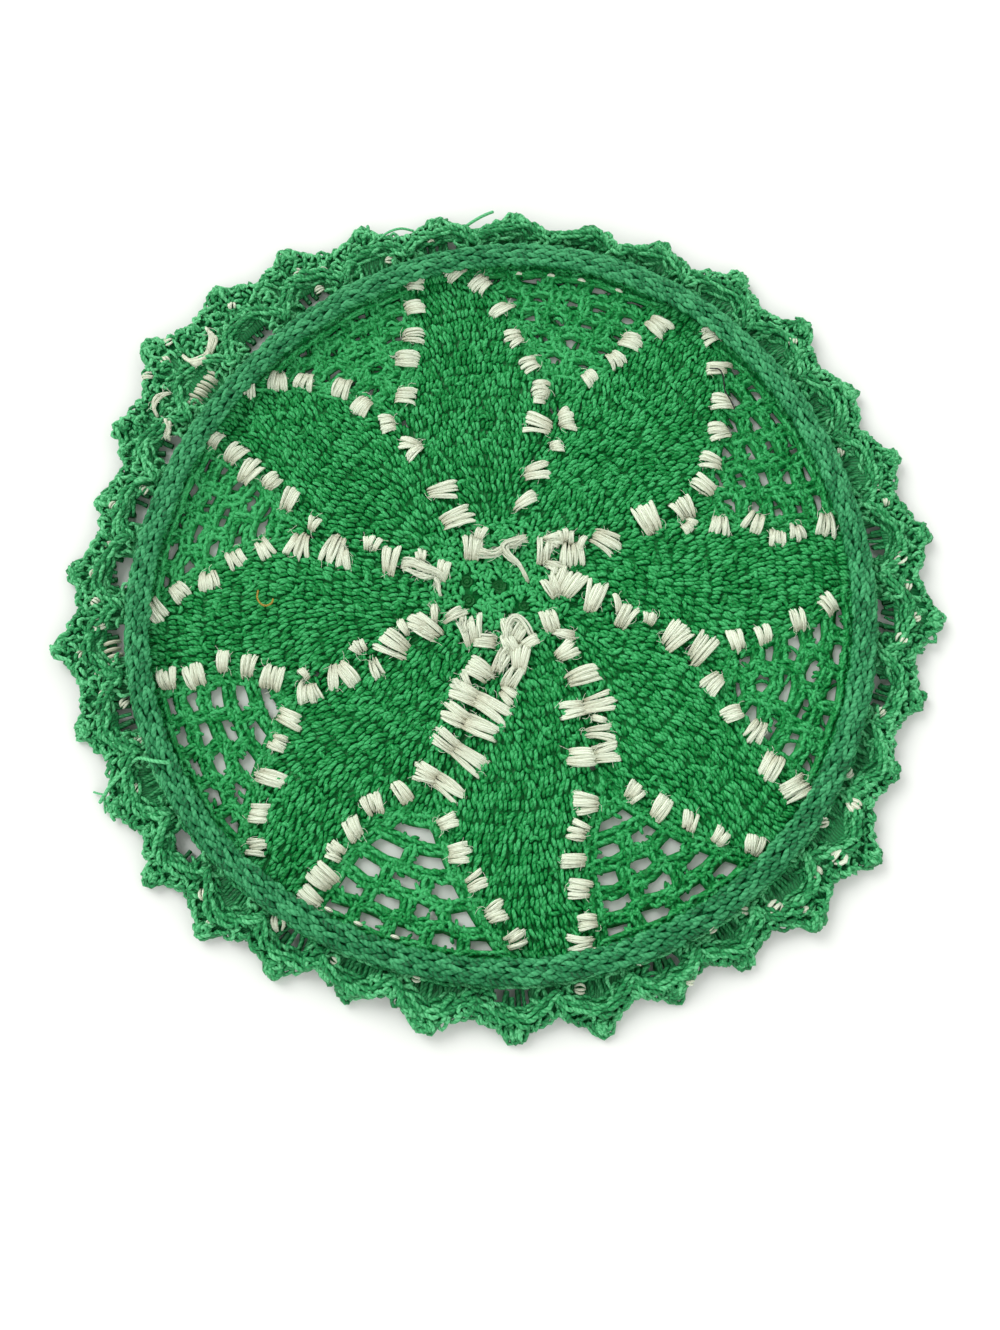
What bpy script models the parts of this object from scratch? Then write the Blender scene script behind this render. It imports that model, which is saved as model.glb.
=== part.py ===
"""A round crocheted lace doily, 246 mm across, lying flat on a table.

Eight dense leaf-shaped petals grow from a small centre ring. Chain-loop net fills the
sectors between their outer halves. White yarn is threaded along both edges of every petal
and runs in to the centre. A braided cord ring is sewn on top of the rim, and an edging of
33 pointed scallops ruffles around it.

Every cloth piece is a thin solid made the same way: an outline in plan with its cut-through
gaps, triangulated, then given a lower and an upper surface. Lengths are in metres, angles
in degrees counter-clockwise from +X, and the doily rests on z = 0.
"""
import math
import random

import bmesh
import bpy
from mathutils import Vector
from mathutils.geometry import delaunay_2d_cdt

MM = 0.001
CLEARANCE = 0.42 * MM              # air kept between two pieces that lie on each other

# Medallion: petals and net, worked in one piece.
CENTRE_Y = 1.8 * MM                # the medallion sits a little off the middle of the edging
CENTRE_HOLE_RADIUS = 1.9 * MM
CENTRE_HOLE_POINTS = 10
NET_THICKNESS = 2.4 * MM
PETAL_CROWN = 1.3 * MM             # how far a petal's middle stands above the net
PETAL_SHOULDER = 0.75              # share of the crown reached near the petal's edges
PETAL_SHOULDER_AT = 0.2            # where that is, as a share of the petal's width
PETAL_ROW_RADII = tuple(radius * MM for radius in (19, 27, 36, 45, 54, 63, 71, 79, 87, 95, 98.5))
PETAL_RISING_ROWS = 3              # rows from the root to the full crown
PETAL_FALLING_ROWS = 4             # rows over which it falls again to the tip
SPLIT_RADIUS = 57.0 * MM           # inside it neighbouring petals touch, outside it there is net
NET_RIM_RADIUS = 97.0 * MM         # where the spreads of the sector table are measured
UNEVEN_HEIGHT = 0.22 * MM          # soft waviness of hand-worked cloth
UNEVEN_WAVES = (61.0, 47.0, 38.0)  # along X, along Y and along the diagonal, in radians a metre
UNEVEN_PHASES = (0.7, -0.4, 2.1)

# The rim lifts off the table to carry the ring.
RIM_LIFT = 1.5 * MM
RIM_LIFT_FROM = -5.6 * MM          # measured from the ring's middle
RIM_LIFT_TO = 0.4 * MM
RIM_STEPS = 99                     # three steps a scallop

# Chain-loop net: rows of six-sided gaps, more in each row outwards.
NET_ROW_RADII = tuple(radius * MM for radius in (70.2, 76.4, 82.6, 88.8, 94.9))
NET_GAP_PITCH = 9.6 * MM
NET_STRAND = 3.2 * MM
NET_MARGIN = 4.2 * MM              # from a petal edge's line to the first gap beside it
NET_CROWDING = 0.35                # a row takes one more gap once it has this share less room
NET_GAP_HALF_HEIGHT = 1.9 * MM
NET_GAP_SHOULDER = 0.5             # the six-sided gap's short side, as a share of its width

# Cord ring: two braided columns side by side.
RING_RADIUS = 100.4 * MM
# How a hand-sewn ring strays from a circle: off its middle, oval, three-cornered. Each row is
# the number of lobes, how far they stand out and the direction of the first.
RING_LOBES = ((1, 2.7 * MM, 303.0), (2, 1.3 * MM, 67.0), (3, 1.3 * MM, 79.0))
RING_HALF_WIDTH = 3.4 * MM
RING_HALF_HEIGHT = 2.0 * MM
RING_GROOVE = 0.7 * MM             # depth of the groove between the columns
RING_GROOVE_ANGLE = 90.0
RING_SECTION_POINTS = 12
RING_STEPS = 72
RIM_PAST_RING = 2.3 * MM           # the cloth's rim lies this far outside the ring's middle

# Edging: scallops with one long gap each.
EDGING_THICKNESS = 2.1 * MM
EDGING_GAP_INSET = 1.7 * MM
EDGING_GAP_DEPTH = 4.1 * MM
EDGING_GAP_SHARE = 0.46            # of the scallop's pitch, at the gap's widest
EDGING_GAP_INNER = 0.7             # the gap's inner and outer sides, as shares of its width
EDGING_GAP_OUTER = 0.6
CREST_AT = 0.3                     # from the gap to the tip
CREST_SHARES = (-0.45, 0.0, 0.45)  # of the half pitch
EDGING_CREST = 1.5 * MM            # height of the ruffle's crest, just outside the gap
EDGING_DROP = 0.7 * MM             # how far an average tip hangs below the rim
EDGING_DROP_FROM = 6.0 * MM        # measured outwards from the rim
EDGING_DROP_TO = 16.0 * MM
NOTCH_LIFT = (0.6 * MM, 1.9 * MM)  # how far the notches between scallops ruffle up
TIP_LIFT = (-0.8 * MM, 1.6 * MM)   # how far the tips ruffle down or up
VALLEY_DEPTH = 6.3 * MM            # from a tip's reach back to the notch beside it
# Outline of one half scallop, from its tip: share of the half pitch, share of VALLEY_DEPTH.
SCALLOP_OUTLINE = ((0.00, 0.00), (0.17, 0.08), (0.32, 0.46), (0.66, 0.70), (1.00, 1.00))

# White yarn: tufts across every petal edge, joined by a thin run between them.
YARN_THICKNESS = 0.8 * MM
YARN_TUFT_RISE = 0.9 * MM
YARN_RUN_HALF_WIDTH = 0.9 * MM
TUFT_HALF_LENGTH = 1.9 * MM        # along the run
TUFT_END = 0.25 * MM               # slope from the run out to the tuft's full width
BRANCH_TUFT_RADII = tuple(radius * MM for radius in (65.8, 72.6, 79.3, 85.8, 92.0))
BRANCH_TUFT_HALF_WIDTH = 2.5 * MM
STEM_TUFT_RADII = tuple(radius * MM for radius in (33.0, 41.0, 49.0, 57.0))
STEM_TUFT_HALF_WIDTH = 4.4 * MM
TUFT_RIDGE = 0.5                   # the tuft's highest points, as a share of its half width
YARN_HUB_RADIUS = 17.0 * MM
YARN_HUB_WANDER = 1.6 * MM         # how far the yarn strays from a circle around the centre
YARN_HUB_HALF_WIDTH = 1.3 * MM
YARN_HUB_STEPS = 4                 # steps from one stem to the next
PETAL_FOOT_GAP = 0.9 * MM          # flat cloth left between a tuft's end and the petal's slope

# One row for each sector of net. Columns: the angle where its two petals part, how far its
# clockwise and its counter-clockwise edge have spread at the rim, and how far the touching
# petals' seam turns on its way in to the centre.
SECTORS = (
    {"apex": 21.7, "clockwise": 11.0, "counter": 27.8, "seam_turn": 4.0},
    {"apex": 73.3, "clockwise": 13.5, "counter": 23.5, "seam_turn": 2.0},
    {"apex": 119.2, "clockwise": 13.7, "counter": 21.0, "seam_turn": 0.0},
    {"apex": 164.0, "clockwise": 11.7, "counter": 20.6, "seam_turn": 3.0},
    {"apex": 206.7, "clockwise": 10.6, "counter": 21.5, "seam_turn": 5.0},
    {"apex": 251.8, "clockwise": 12.6, "counter": 21.3, "seam_turn": 8.0},
    {"apex": 296.8, "clockwise": 12.8, "counter": 16.6, "seam_turn": 13.0},
    {"apex": 340.9, "clockwise": 15.5, "counter": 19.4, "seam_turn": 5.0},
)
# How a clockwise edge opens: radius in mm, share of its spread. It opens early, then runs out.
CLOCKWISE_PROFILE = ((57.0, 0.25), (65.0, 0.47), (72.0, 0.75), (79.0, 0.93), (97.0, 1.00))
# A counter-clockwise edge opens evenly from this share of its spread at SPLIT_RADIUS.
COUNTER_START = 0.10

# One row for each scallop: the angle of its tip and how far it reaches, in mm.
SCALLOPS = (
    (7.2, 122.5), (18.5, 120.5), (29.7, 119.0), (40.9, 120.5), (52.8, 120.0), (65.2, 117.0),
    (75.8, 115.0), (87.4, 115.5), (99.7, 116.5), (110.6, 118.5), (122.0, 122.0),
    (133.3, 124.5), (145.2, 127.0), (156.8, 120.5), (167.4, 117.5), (177.9, 121.0),
    (188.4, 124.5), (199.6, 122.0), (210.6, 121.5), (220.6, 123.0), (230.3, 122.5),
    (240.4, 120.0), (250.0, 117.0), (260.6, 119.5), (272.0, 120.5), (283.0, 121.5),
    (292.8, 119.5), (302.4, 120.5), (312.4, 124.5), (323.2, 125.5), (333.9, 119.0),
    (344.0, 120.5), (355.2, 123.5),
)

COLOURS = {
    "crochet_green": (0.012, 0.185, 0.052),
    "edging_green": (0.017, 0.215, 0.070),
    "cord_green": (0.028, 0.225, 0.085),
    "white_yarn": (0.78, 0.74, 0.64),
}
COTTON_ROUGHNESS = 0.85


# ---------------------------------------------------------------- shape rules

def smooth(value, low, high):
    """A soft step from 0 at low to 1 at high."""
    share = min(1.0, max(0.0, (value - low) / (high - low)))
    return share * share * (3.0 - 2.0 * share)


def profile(pairs, value):
    """The share at a value, read along straight lines between the pairs."""
    if value <= pairs[0][0]:
        return pairs[0][1]
    for (low, low_share), (high, high_share) in zip(pairs, pairs[1:]):
        if value <= high:
            return low_share + (high_share - low_share) * (value - low) / (high - low)
    return pairs[-1][1]


def point(radius, degrees):
    """A point of the plan, from the medallion's centre."""
    angle = math.radians(degrees)
    return Vector((radius * math.cos(angle), CENTRE_Y + radius * math.sin(angle)))


def pattern_point(radius, degrees):
    """A point of the petals and net, drawn in or out so that they end at the uneven ring."""
    outward = max(0.0, (radius - SPLIT_RADIUS) / (RING_RADIUS - SPLIT_RADIUS))
    return point(radius + outward * (ring_radius(degrees) - RING_RADIUS), degrees)


def polar(x, y):
    """Radius from the medallion's centre, and angle."""
    return math.hypot(x, y - CENTRE_Y), math.degrees(math.atan2(y - CENTRE_Y, x))


def waviness(x, y):
    """Slow unevenness of the whole cloth, between -1 and 1."""
    along_x, along_y, diagonal = UNEVEN_WAVES
    first = math.sin(x * along_x + UNEVEN_PHASES[0]) * math.cos(y * along_y + UNEVEN_PHASES[1])
    second = math.sin((x + y) * diagonal + UNEVEN_PHASES[2])
    return (first + second) / 2.0


def rim_lift(x, y):
    """How far the rim stands off the table."""
    radius, degrees = polar(x, y)
    return RIM_LIFT * smooth(radius - ring_radius(degrees), RIM_LIFT_FROM, RIM_LIFT_TO)


def net_top(x, y):
    """Height of the net's upper face, which the white yarn and the ring lie on."""
    return NET_THICKNESS + rim_lift(x, y) + UNEVEN_HEIGHT * waviness(x, y)


def ring_radius(degrees):
    """Radius of the ring's middle: a hand-sewn, uneven circle."""
    radius = RING_RADIUS
    for lobes, size, direction in RING_LOBES:
        radius += size * math.cos(math.radians(lobes * (degrees - direction)))
    return radius


def rim_radius(degrees):
    return ring_radius(degrees) + RIM_PAST_RING


def seam_angle(sector, radius):
    """Angle of the seam where the sector's two petals touch, inside SPLIT_RADIUS."""
    outward = (radius - STEM_TUFT_RADII[0]) / (SPLIT_RADIUS - STEM_TUFT_RADII[0])
    return sector["apex"] + sector["seam_turn"] * (1.0 - min(1.0, max(0.0, outward)))


def edge_angle(sector, side, radius):
    """Angle of one edge of a net sector; side is "clockwise" or "counter"."""
    if radius < SPLIT_RADIUS:
        return seam_angle(sector, radius)
    if side == "clockwise":
        return sector["apex"] - sector["clockwise"] * profile(CLOCKWISE_PROFILE, radius / MM)
    share = (radius - SPLIT_RADIUS) / (NET_RIM_RADIUS - SPLIT_RADIUS)
    return sector["apex"] + sector["counter"] * (COUNTER_START + (1.0 - COUNTER_START) * share)


def tuft_half_width(radius):
    """Half the length of the white tufts across the edge at this radius."""
    share = smooth(radius, SPLIT_RADIUS, BRANCH_TUFT_RADII[0])
    return STEM_TUFT_HALF_WIDTH + (BRANCH_TUFT_HALF_WIDTH - STEM_TUFT_HALF_WIDTH) * share


# ---------------------------------------------------------------- thin solids from a plan

class Plan:
    """Points, crease lines, outlines and gaps of one cloth piece, seen from above.

    Each point carries an extra height: of the upper face alone where the piece is crowned,
    and of both faces where it ruffles.
    """

    UNITS = 1000.0                 # the triangulation works in millimetres
    TOUCH = 1e-5

    def __init__(self):
        self.points = []
        self.extra = []
        self.edges = []
        self.outlines = []
        self.gaps = []

    def add(self, place, extra=0.0):
        self.points.append(place * self.UNITS)
        self.extra.append(extra)
        return len(self.points) - 1

    def crease(self, indices):
        self.edges.extend(zip(indices, indices[1:]))

    def add_outline(self, indices):
        self.outlines.append(self.counter_clockwise_loop(indices))

    def add_gap(self, indices):
        self.gaps.append(self.counter_clockwise_loop(indices))

    def counter_clockwise_loop(self, indices):
        """The loop in the direction in which the triangulation takes its inside as filled."""
        area = 0.0
        for i, j in zip(indices, indices[1:] + indices[:1]):
            area += self.points[i].cross(self.points[j])
        return indices if area > 0.0 else indices[::-1]

    def triangles(self):
        """Corner places, their extra heights, and the triangles inside the outlines."""
        faces = self.outlines + self.gaps
        found = delaunay_2d_cdt(self.points, self.edges, faces, 0, self.TOUCH)
        places, _, corners, place_sources, _, face_sources = found
        first_gap = len(self.outlines)
        kept = []
        for corner, sources in zip(corners, face_sources):
            if sources and all(source < first_gap for source in sources):
                kept.append(counter_clockwise(places, corner))
        extra = [max((self.extra[i] for i in sources), default=0.0) for sources in place_sources]
        return [place / self.UNITS for place in places], extra, kept


def counter_clockwise(places, corner):
    a, b, c = (places[i] for i in corner)
    turn = (b.x - a.x) * (c.y - a.y) - (b.y - a.y) * (c.x - a.x)
    return tuple(corner) if turn > 0.0 else tuple(reversed(corner))


def thin_solid(name, plan, lower_height, upper_height, material, ruffled=False):
    """A closed solid between two heights, over the plan's outline and without its gaps."""
    places, extra, kept = plan.triangles()
    mesh = bmesh.new()
    lower = {}
    upper = {}
    for i in sorted({i for corner in kept for i in corner}):
        x, y = places[i]
        lower[i] = mesh.verts.new((x, y, lower_height(x, y) + (extra[i] if ruffled else 0.0)))
        upper[i] = mesh.verts.new((x, y, upper_height(x, y) + extra[i]))
    sides = set()
    for a, b, c in kept:
        mesh.faces.new((upper[a], upper[b], upper[c]))
        mesh.faces.new((lower[c], lower[b], lower[a]))
        sides.update(((a, b), (b, c), (c, a)))
    for a, b in sorted(sides):
        if (b, a) not in sides:
            mesh.faces.new((lower[a], lower[b], upper[b], upper[a]))
    bmesh.ops.triangulate(mesh, faces=mesh.faces[:])
    return finish_object(name, mesh, material)


def finish_object(name, mesh, material):
    data = bpy.data.meshes.new(name)
    mesh.to_mesh(data)
    mesh.free()
    data.materials.append(material)
    data.shade_smooth()
    data.set_sharp_from_angle(angle=math.radians(40.0))
    piece = bpy.data.objects.new(name, data)
    bpy.context.scene.collection.objects.link(piece)
    return piece


def make_material(name):
    material = bpy.data.materials.new(name)
    material.use_nodes = True
    shader = material.node_tree.nodes["Principled BSDF"]
    shader.inputs["Base Color"].default_value = (*COLOURS[name], 1.0)
    shader.inputs["Roughness"].default_value = COTTON_ROUGHNESS
    shader.inputs["Metallic"].default_value = 0.0
    return material


# ---------------------------------------------------------------- medallion

def circle(plan, radius_at, steps):
    return [plan.add(point(radius_at(360.0 * i / steps), 360.0 * i / steps)) for i in range(steps)]


def add_net_gaps(plan, sector):
    """Rows of six-sided gaps that fill one sector of net."""
    for radius in NET_ROW_RADII:
        start = radius * math.radians(edge_angle(sector, "clockwise", radius)) + NET_MARGIN
        width = radius * math.radians(edge_angle(sector, "counter", radius)) - NET_MARGIN - start
        count = max(1, int((width + NET_STRAND) / NET_GAP_PITCH + NET_CROWDING))
        pitch = (width + NET_STRAND) / count
        half = (pitch - NET_STRAND) / 2.0
        for i in range(count):
            middle = math.degrees((start + half + i * pitch) / radius)
            plan.add_gap(net_gap(plan, radius, middle, half))


def net_gap(plan, radius, middle, half):
    across = math.degrees(half / radius)
    short = across * NET_GAP_SHOULDER
    corners = ((0.0, across), (1.0, short), (1.0, -short), (0.0, -across), (-1.0, -short), (-1.0, short))
    return [plan.add(pattern_point(radius + up * NET_GAP_HALF_HEIGHT, middle + turn))
            for up, turn in corners]


def add_petal(plan, before, after):
    """A crowned leaf between the sector before it and the sector after it."""
    lines = ([], [], [], [], [])
    shares = (0.0, PETAL_SHOULDER_AT, 0.5, 1.0 - PETAL_SHOULDER_AT, 1.0)
    heights = (0.0, PETAL_SHOULDER, 1.0, PETAL_SHOULDER, 0.0)
    rows = len(PETAL_ROW_RADII)
    for row, radius in enumerate(PETAL_ROW_RADII):
        foot = math.degrees((tuft_half_width(radius) + PETAL_FOOT_GAP) / radius)
        start = edge_angle(before, "counter", radius) + foot
        end = edge_angle(after, "clockwise", radius) - foot
        if end < start:
            end += 360.0
        if row == 0:
            start = end = (start + end) / 2.0
            lines[2].append(plan.add(pattern_point(radius, start)))
            continue
        rise = smooth(row, 0, PETAL_RISING_ROWS)
        fall = smooth(row, rows - PETAL_FALLING_ROWS, rows - 1)
        crown = PETAL_CROWN * rise * (1.0 - fall)
        for line, share, height in zip(lines, shares, heights):
            place = pattern_point(radius, start + (end - start) * share)
            line.append(plan.add(place, crown * height))
    for line in lines:
        plan.crease(line)


def make_cloth(material):
    plan = Plan()
    plan.add_outline(circle(plan, rim_radius, RIM_STEPS))
    plan.add_gap(circle(plan, lambda _: CENTRE_HOLE_RADIUS, CENTRE_HOLE_POINTS))
    for sector in SECTORS:
        add_net_gaps(plan, sector)
    for before, after in zip(SECTORS, SECTORS[1:] + SECTORS[:1]):
        add_petal(plan, before, after)
    return thin_solid("cloth", plan, rim_lift, net_top, material)


# ---------------------------------------------------------------- cord ring

def ring_section():
    """The ring's section as (outward, upward) offsets, two rounded columns on top."""
    section = []
    for i in range(RING_SECTION_POINTS):
        degrees = 360.0 * i / RING_SECTION_POINTS
        inset = RING_GROOVE if math.isclose(degrees, RING_GROOVE_ANGLE) else 0.0
        across = RING_HALF_WIDTH * math.cos(math.radians(degrees))
        upward = (RING_HALF_HEIGHT - inset) * math.sin(math.radians(degrees))
        section.append((across, upward))
    return section


def make_cord_ring(material):
    mesh = bmesh.new()
    loops = []
    for i in range(RING_STEPS):
        degrees = 360.0 * i / RING_STEPS
        middle = point(ring_radius(degrees), degrees)
        height = net_top(*middle) + CLEARANCE + RING_HALF_HEIGHT
        loop = []
        for outward, upward in ring_section():
            place = point(ring_radius(degrees) + outward, degrees)
            loop.append(mesh.verts.new((*place, height + upward)))
        loops.append(loop)
    for here, ahead in zip(loops, loops[1:] + loops[:1]):
        for j in range(RING_SECTION_POINTS):
            k = (j + 1) % RING_SECTION_POINTS
            mesh.faces.new((here[j], here[k], ahead[k], ahead[j]))
    bmesh.ops.triangulate(mesh, faces=mesh.faces[:])
    bmesh.ops.recalc_face_normals(mesh, faces=mesh.faces[:])
    return finish_object("cord_ring", mesh, material)


# ---------------------------------------------------------------- edging

def add_scallop(plan, before, here, after, randomness):
    """One scallop: its outer outline, its long gap and the crest of its ruffle."""
    tip_extra = randomness.uniform(*TIP_LIFT)
    notch_extra = randomness.uniform(*NOTCH_LIFT)
    angle, reach = here
    reach *= MM
    half_back = ((angle - before[0]) % 360.0) / 2.0
    half_ahead = ((after[0] - angle) % 360.0) / 2.0
    outline = []
    back = [(-share * half_back, depth) for share, depth in reversed(SCALLOP_OUTLINE[1:-1])]
    ahead = [(share * half_ahead, depth) for share, depth in SCALLOP_OUTLINE[:-1]]
    for turn, depth in back + ahead:
        outline.append(plan.add(point(reach - depth * VALLEY_DEPTH, angle + turn), tip_extra))
    valley_reach = (reach + after[1] * MM) / 2.0 - VALLEY_DEPTH
    outline.append(plan.add(point(valley_reach, angle + half_ahead), notch_extra))

    inner = rim_radius(angle) + CLEARANCE + EDGING_GAP_INSET
    outer = inner + EDGING_GAP_DEPTH
    middle = (inner + outer) / 2.0
    wide = EDGING_GAP_SHARE
    near = wide * EDGING_GAP_INNER
    far = wide * EDGING_GAP_OUTER
    corners = ((inner, -near), (inner, near), (middle, wide), (outer, far), (outer, -far), (middle, -wide))
    gap = []
    for radius, share in corners:
        half = half_ahead if share > 0.0 else half_back
        gap.append(plan.add(point(radius, angle + share * half)))
    plan.add_gap(gap)
    crest = outer + (reach - outer) * CREST_AT
    for share in CREST_SHARES:
        half = half_ahead if share > 0.0 else half_back
        plan.add(point(crest, angle + share * half), EDGING_CREST)
    return outline


def edging_lower(x, y):
    """The edging leaves the rim level and dips outwards to just above the table."""
    radius, degrees = polar(x, y)
    past = radius - rim_radius(degrees)
    return RIM_LIFT - EDGING_DROP * smooth(past, EDGING_DROP_FROM, EDGING_DROP_TO)


def make_edging(material):
    plan = Plan()
    randomness = random.Random(33)
    outline = []
    count = len(SCALLOPS)
    for i, here in enumerate(SCALLOPS):
        outline += add_scallop(plan, SCALLOPS[i - 1], here, SCALLOPS[(i + 1) % count], randomness)
    plan.add_outline(outline)
    plan.add_gap(circle(plan, lambda degrees: rim_radius(degrees) + CLEARANCE, RIM_STEPS))
    return thin_solid("edging", plan, edging_lower, lambda x, y: edging_lower(x, y) + EDGING_THICKNESS,
                      material, ruffled=True)


# ---------------------------------------------------------------- white yarn

def add_run(plan, angle_at, start, end, tuft_radii):
    """A thin run of yarn along one line of the plan, with a tuft across it at each radius."""
    stations = [(start, YARN_RUN_HALF_WIDTH)]
    for radius in tuft_radii:
        wide = tuft_half_width(radius)
        stations.append((radius - TUFT_HALF_LENGTH - TUFT_END, YARN_RUN_HALF_WIDTH))
        stations.append((radius - TUFT_HALF_LENGTH, wide))
        stations.append((radius + TUFT_HALF_LENGTH, wide))
        stations.append((radius + TUFT_HALF_LENGTH + TUFT_END, YARN_RUN_HALF_WIDTH))
        turn = math.degrees(TUFT_RIDGE * wide / radius)
        ridge = []
        for side in (-1, 1):
            place = pattern_point(radius, angle_at(radius) + side * turn)
            ridge.append(plan.add(place, YARN_TUFT_RISE))
        plan.crease(ridge)
    stations.append((end, YARN_RUN_HALF_WIDTH))
    stations = [station for station in stations if start <= station[0] <= end]
    left = []
    right = []
    for radius, half in stations:
        turn = math.degrees(half / radius)
        left.append(plan.add(pattern_point(radius, angle_at(radius) + turn)))
        right.append(plan.add(pattern_point(radius, angle_at(radius) - turn)))
    plan.add_outline(right + left[::-1])


def hub_radius(degrees):
    """The yarn around the centre wanders in and out three times."""
    return YARN_HUB_RADIUS + YARN_HUB_WANDER * math.sin(math.radians(3.0 * degrees))


def add_hub_arc(plan, start, end):
    """Yarn that jumps around the centre from one stem to the next."""
    inner = []
    outer = []
    for i in range(YARN_HUB_STEPS + 1):
        degrees = start + (end - start) * i / YARN_HUB_STEPS
        radius = hub_radius(degrees)
        inner.append(plan.add(point(radius - YARN_HUB_HALF_WIDTH, degrees)))
        outer.append(plan.add(point(radius + YARN_HUB_HALF_WIDTH, degrees)))
    plan.add_outline(outer + inner[::-1])


def make_white_yarn(material):
    plan = Plan()
    stem_end = STEM_TUFT_RADII[-1] + TUFT_HALF_LENGTH
    branch_end = BRANCH_TUFT_RADII[-1] + TUFT_HALF_LENGTH
    hub_angles = []
    for sector in SECTORS:
        for side in ("clockwise", "counter"):
            add_run(plan, lambda radius: edge_angle(sector, side, radius), SPLIT_RADIUS, branch_end,
                    BRANCH_TUFT_RADII)
        hub_angle = seam_angle(sector, YARN_HUB_RADIUS)
        add_run(plan, lambda radius: seam_angle(sector, radius), hub_radius(hub_angle), stem_end,
                STEM_TUFT_RADII)
        hub_angles.append(hub_angle)
    for start, end in zip(hub_angles, hub_angles[1:] + hub_angles[:1]):
        add_hub_arc(plan, start, end if end > start else end + 360.0)
    return thin_solid("white_yarn", plan, lambda x, y: net_top(x, y) + CLEARANCE,
                      lambda x, y: net_top(x, y) + CLEARANCE + YARN_THICKNESS, material)


def main():
    for old in list(bpy.data.objects):
        bpy.data.objects.remove(old, do_unlink=True)
    make_cloth(make_material("crochet_green"))
    make_cord_ring(make_material("cord_green"))
    make_edging(make_material("edging_green"))
    make_white_yarn(make_material("white_yarn"))


main()
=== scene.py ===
"""The crocheted lace doily, thread by thread, on a pale table under soft studio light.

Every visible stitch is a short strand of cotton thread: the petals are rows of V-shaped
stitches, the net is chained ropes, the ring a double chain, and the edging is braids, ladders
and loops. The tufts are fingers of white yarn.
Strands are made many at a time as arrays, and joined into one mesh for each part of the
doily. Lengths are in metres, angles in degrees counter-clockwise from +X.
"""
import math
import random

import bmesh
import bpy
import numpy as np
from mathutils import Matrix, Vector


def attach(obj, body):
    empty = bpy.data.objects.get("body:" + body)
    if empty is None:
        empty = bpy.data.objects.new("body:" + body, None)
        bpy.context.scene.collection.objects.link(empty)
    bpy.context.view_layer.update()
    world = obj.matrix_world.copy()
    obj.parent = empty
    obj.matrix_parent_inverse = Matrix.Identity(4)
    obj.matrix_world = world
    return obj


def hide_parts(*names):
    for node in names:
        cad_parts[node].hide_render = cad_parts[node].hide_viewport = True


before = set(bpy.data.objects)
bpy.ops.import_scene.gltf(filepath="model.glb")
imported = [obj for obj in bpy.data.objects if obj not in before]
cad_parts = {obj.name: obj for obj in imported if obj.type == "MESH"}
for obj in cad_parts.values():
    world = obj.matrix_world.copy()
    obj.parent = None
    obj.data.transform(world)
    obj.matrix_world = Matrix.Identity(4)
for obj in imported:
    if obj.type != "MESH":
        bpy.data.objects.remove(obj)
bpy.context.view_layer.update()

MM = 0.001
UP = np.array((0.0, 0.0, 1.0))
chance = np.random.default_rng(41)

# ---------------------------------------------------------------- the doily's own sizes
CENTRE_Y = 1.8 * MM
CENTRE_HOLE_RADIUS = 1.9 * MM
NET_THICKNESS = 2.4 * MM
PETAL_CROWN = 1.3 * MM
CROWN_POWER = 0.6
CROWN_RISES, CROWN_FALLS = (19.0 * MM, 45.0 * MM), (82.0 * MM, 98.0 * MM)    # from and to a radius
SPLIT_RADIUS = 57.0 * MM           # inside it neighbouring petals touch
SEAM_FROM = 33.0 * MM              # inside it the seams run straight in
NET_RIM_RADIUS = 97.0 * MM
UNEVEN_HEIGHT = 0.22 * MM
RIM_LIFT = 1.5 * MM
RIM_LIFT_FROM = -5.6 * MM          # measured from the ring's middle
RIM_LIFT_TO = 0.4 * MM
NET_ROW_RADII = tuple(radius * MM for radius in (70.2, 76.4, 82.6, 88.8, 94.9))
NET_ROW_STEP = 6.2 * MM
NET_GAP_PITCH = 9.6 * MM
NET_STRAND = 3.2 * MM
NET_MARGIN = 4.2 * MM
NET_CROWDING = 0.35
RING_RADIUS = 100.4 * MM
RING_LOBES = ((1, 2.7 * MM, 303.0), (2, 1.3 * MM, 67.0), (3, 1.3 * MM, 79.0))
RING_HALF_WIDTH = 3.4 * MM
RING_HALF_HEIGHT = 2.0 * MM
RIM_PAST_RING = 2.3 * MM
CLEARANCE = 0.42 * MM
EDGING_THICKNESS = 2.1 * MM
EDGING_CREST = 1.2 * MM            # the braid stands out by this much, over this width to each side
CREST_HALF = 1.9 * MM
EDGING_DROP = 0.7 * MM             # the edging comes down by this much, between two distances past the rim
EDGING_DROPS = (6.0 * MM, 16.0 * MM)
NOTCH_LIFT = (0.6 * MM, 1.9 * MM)
TIP_LIFT = (-0.8 * MM, 1.6 * MM)
VALLEY_DEPTH = 6.3 * MM
SCALLOP_OUTLINE = ((0.00, 0.00), (0.17, 0.08), (0.32, 0.46), (0.66, 0.70), (1.00, 1.00))

THREAD = 1.16 * MM                 # diameter of the crochet cotton
STITCH_WIDTH = 2.20 * MM
STITCH_HEIGHT = 2.62 * MM
LINK = 2.1 * MM                    # length of one chain stitch
CLOCKWISE, COUNTER = -1.0, 1.0     # the two edges of a sector, and the two ways around

# One row for each sector of net: where its two petals part, how far its clockwise and counter-
# clockwise edge spread at the rim, and how far the petals' seam turns on its way to the centre.
SECTORS = (
    (21.7, 11.0, 27.8, 4.0), (73.3, 13.5, 23.5, 2.0), (119.2, 13.7, 21.0, 0.0), (164.0, 11.7, 20.6, 3.0),
    (206.7, 10.6, 21.5, 5.0), (251.8, 12.6, 21.3, 8.0), (296.8, 12.8, 16.6, 13.0), (340.9, 15.5, 19.4, 5.0),
)
CLOCKWISE_PROFILE = ((57.0, 0.25), (65.0, 0.47), (72.0, 0.75), (79.0, 0.93), (97.0, 1.00))
COUNTER_START = 0.10

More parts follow.
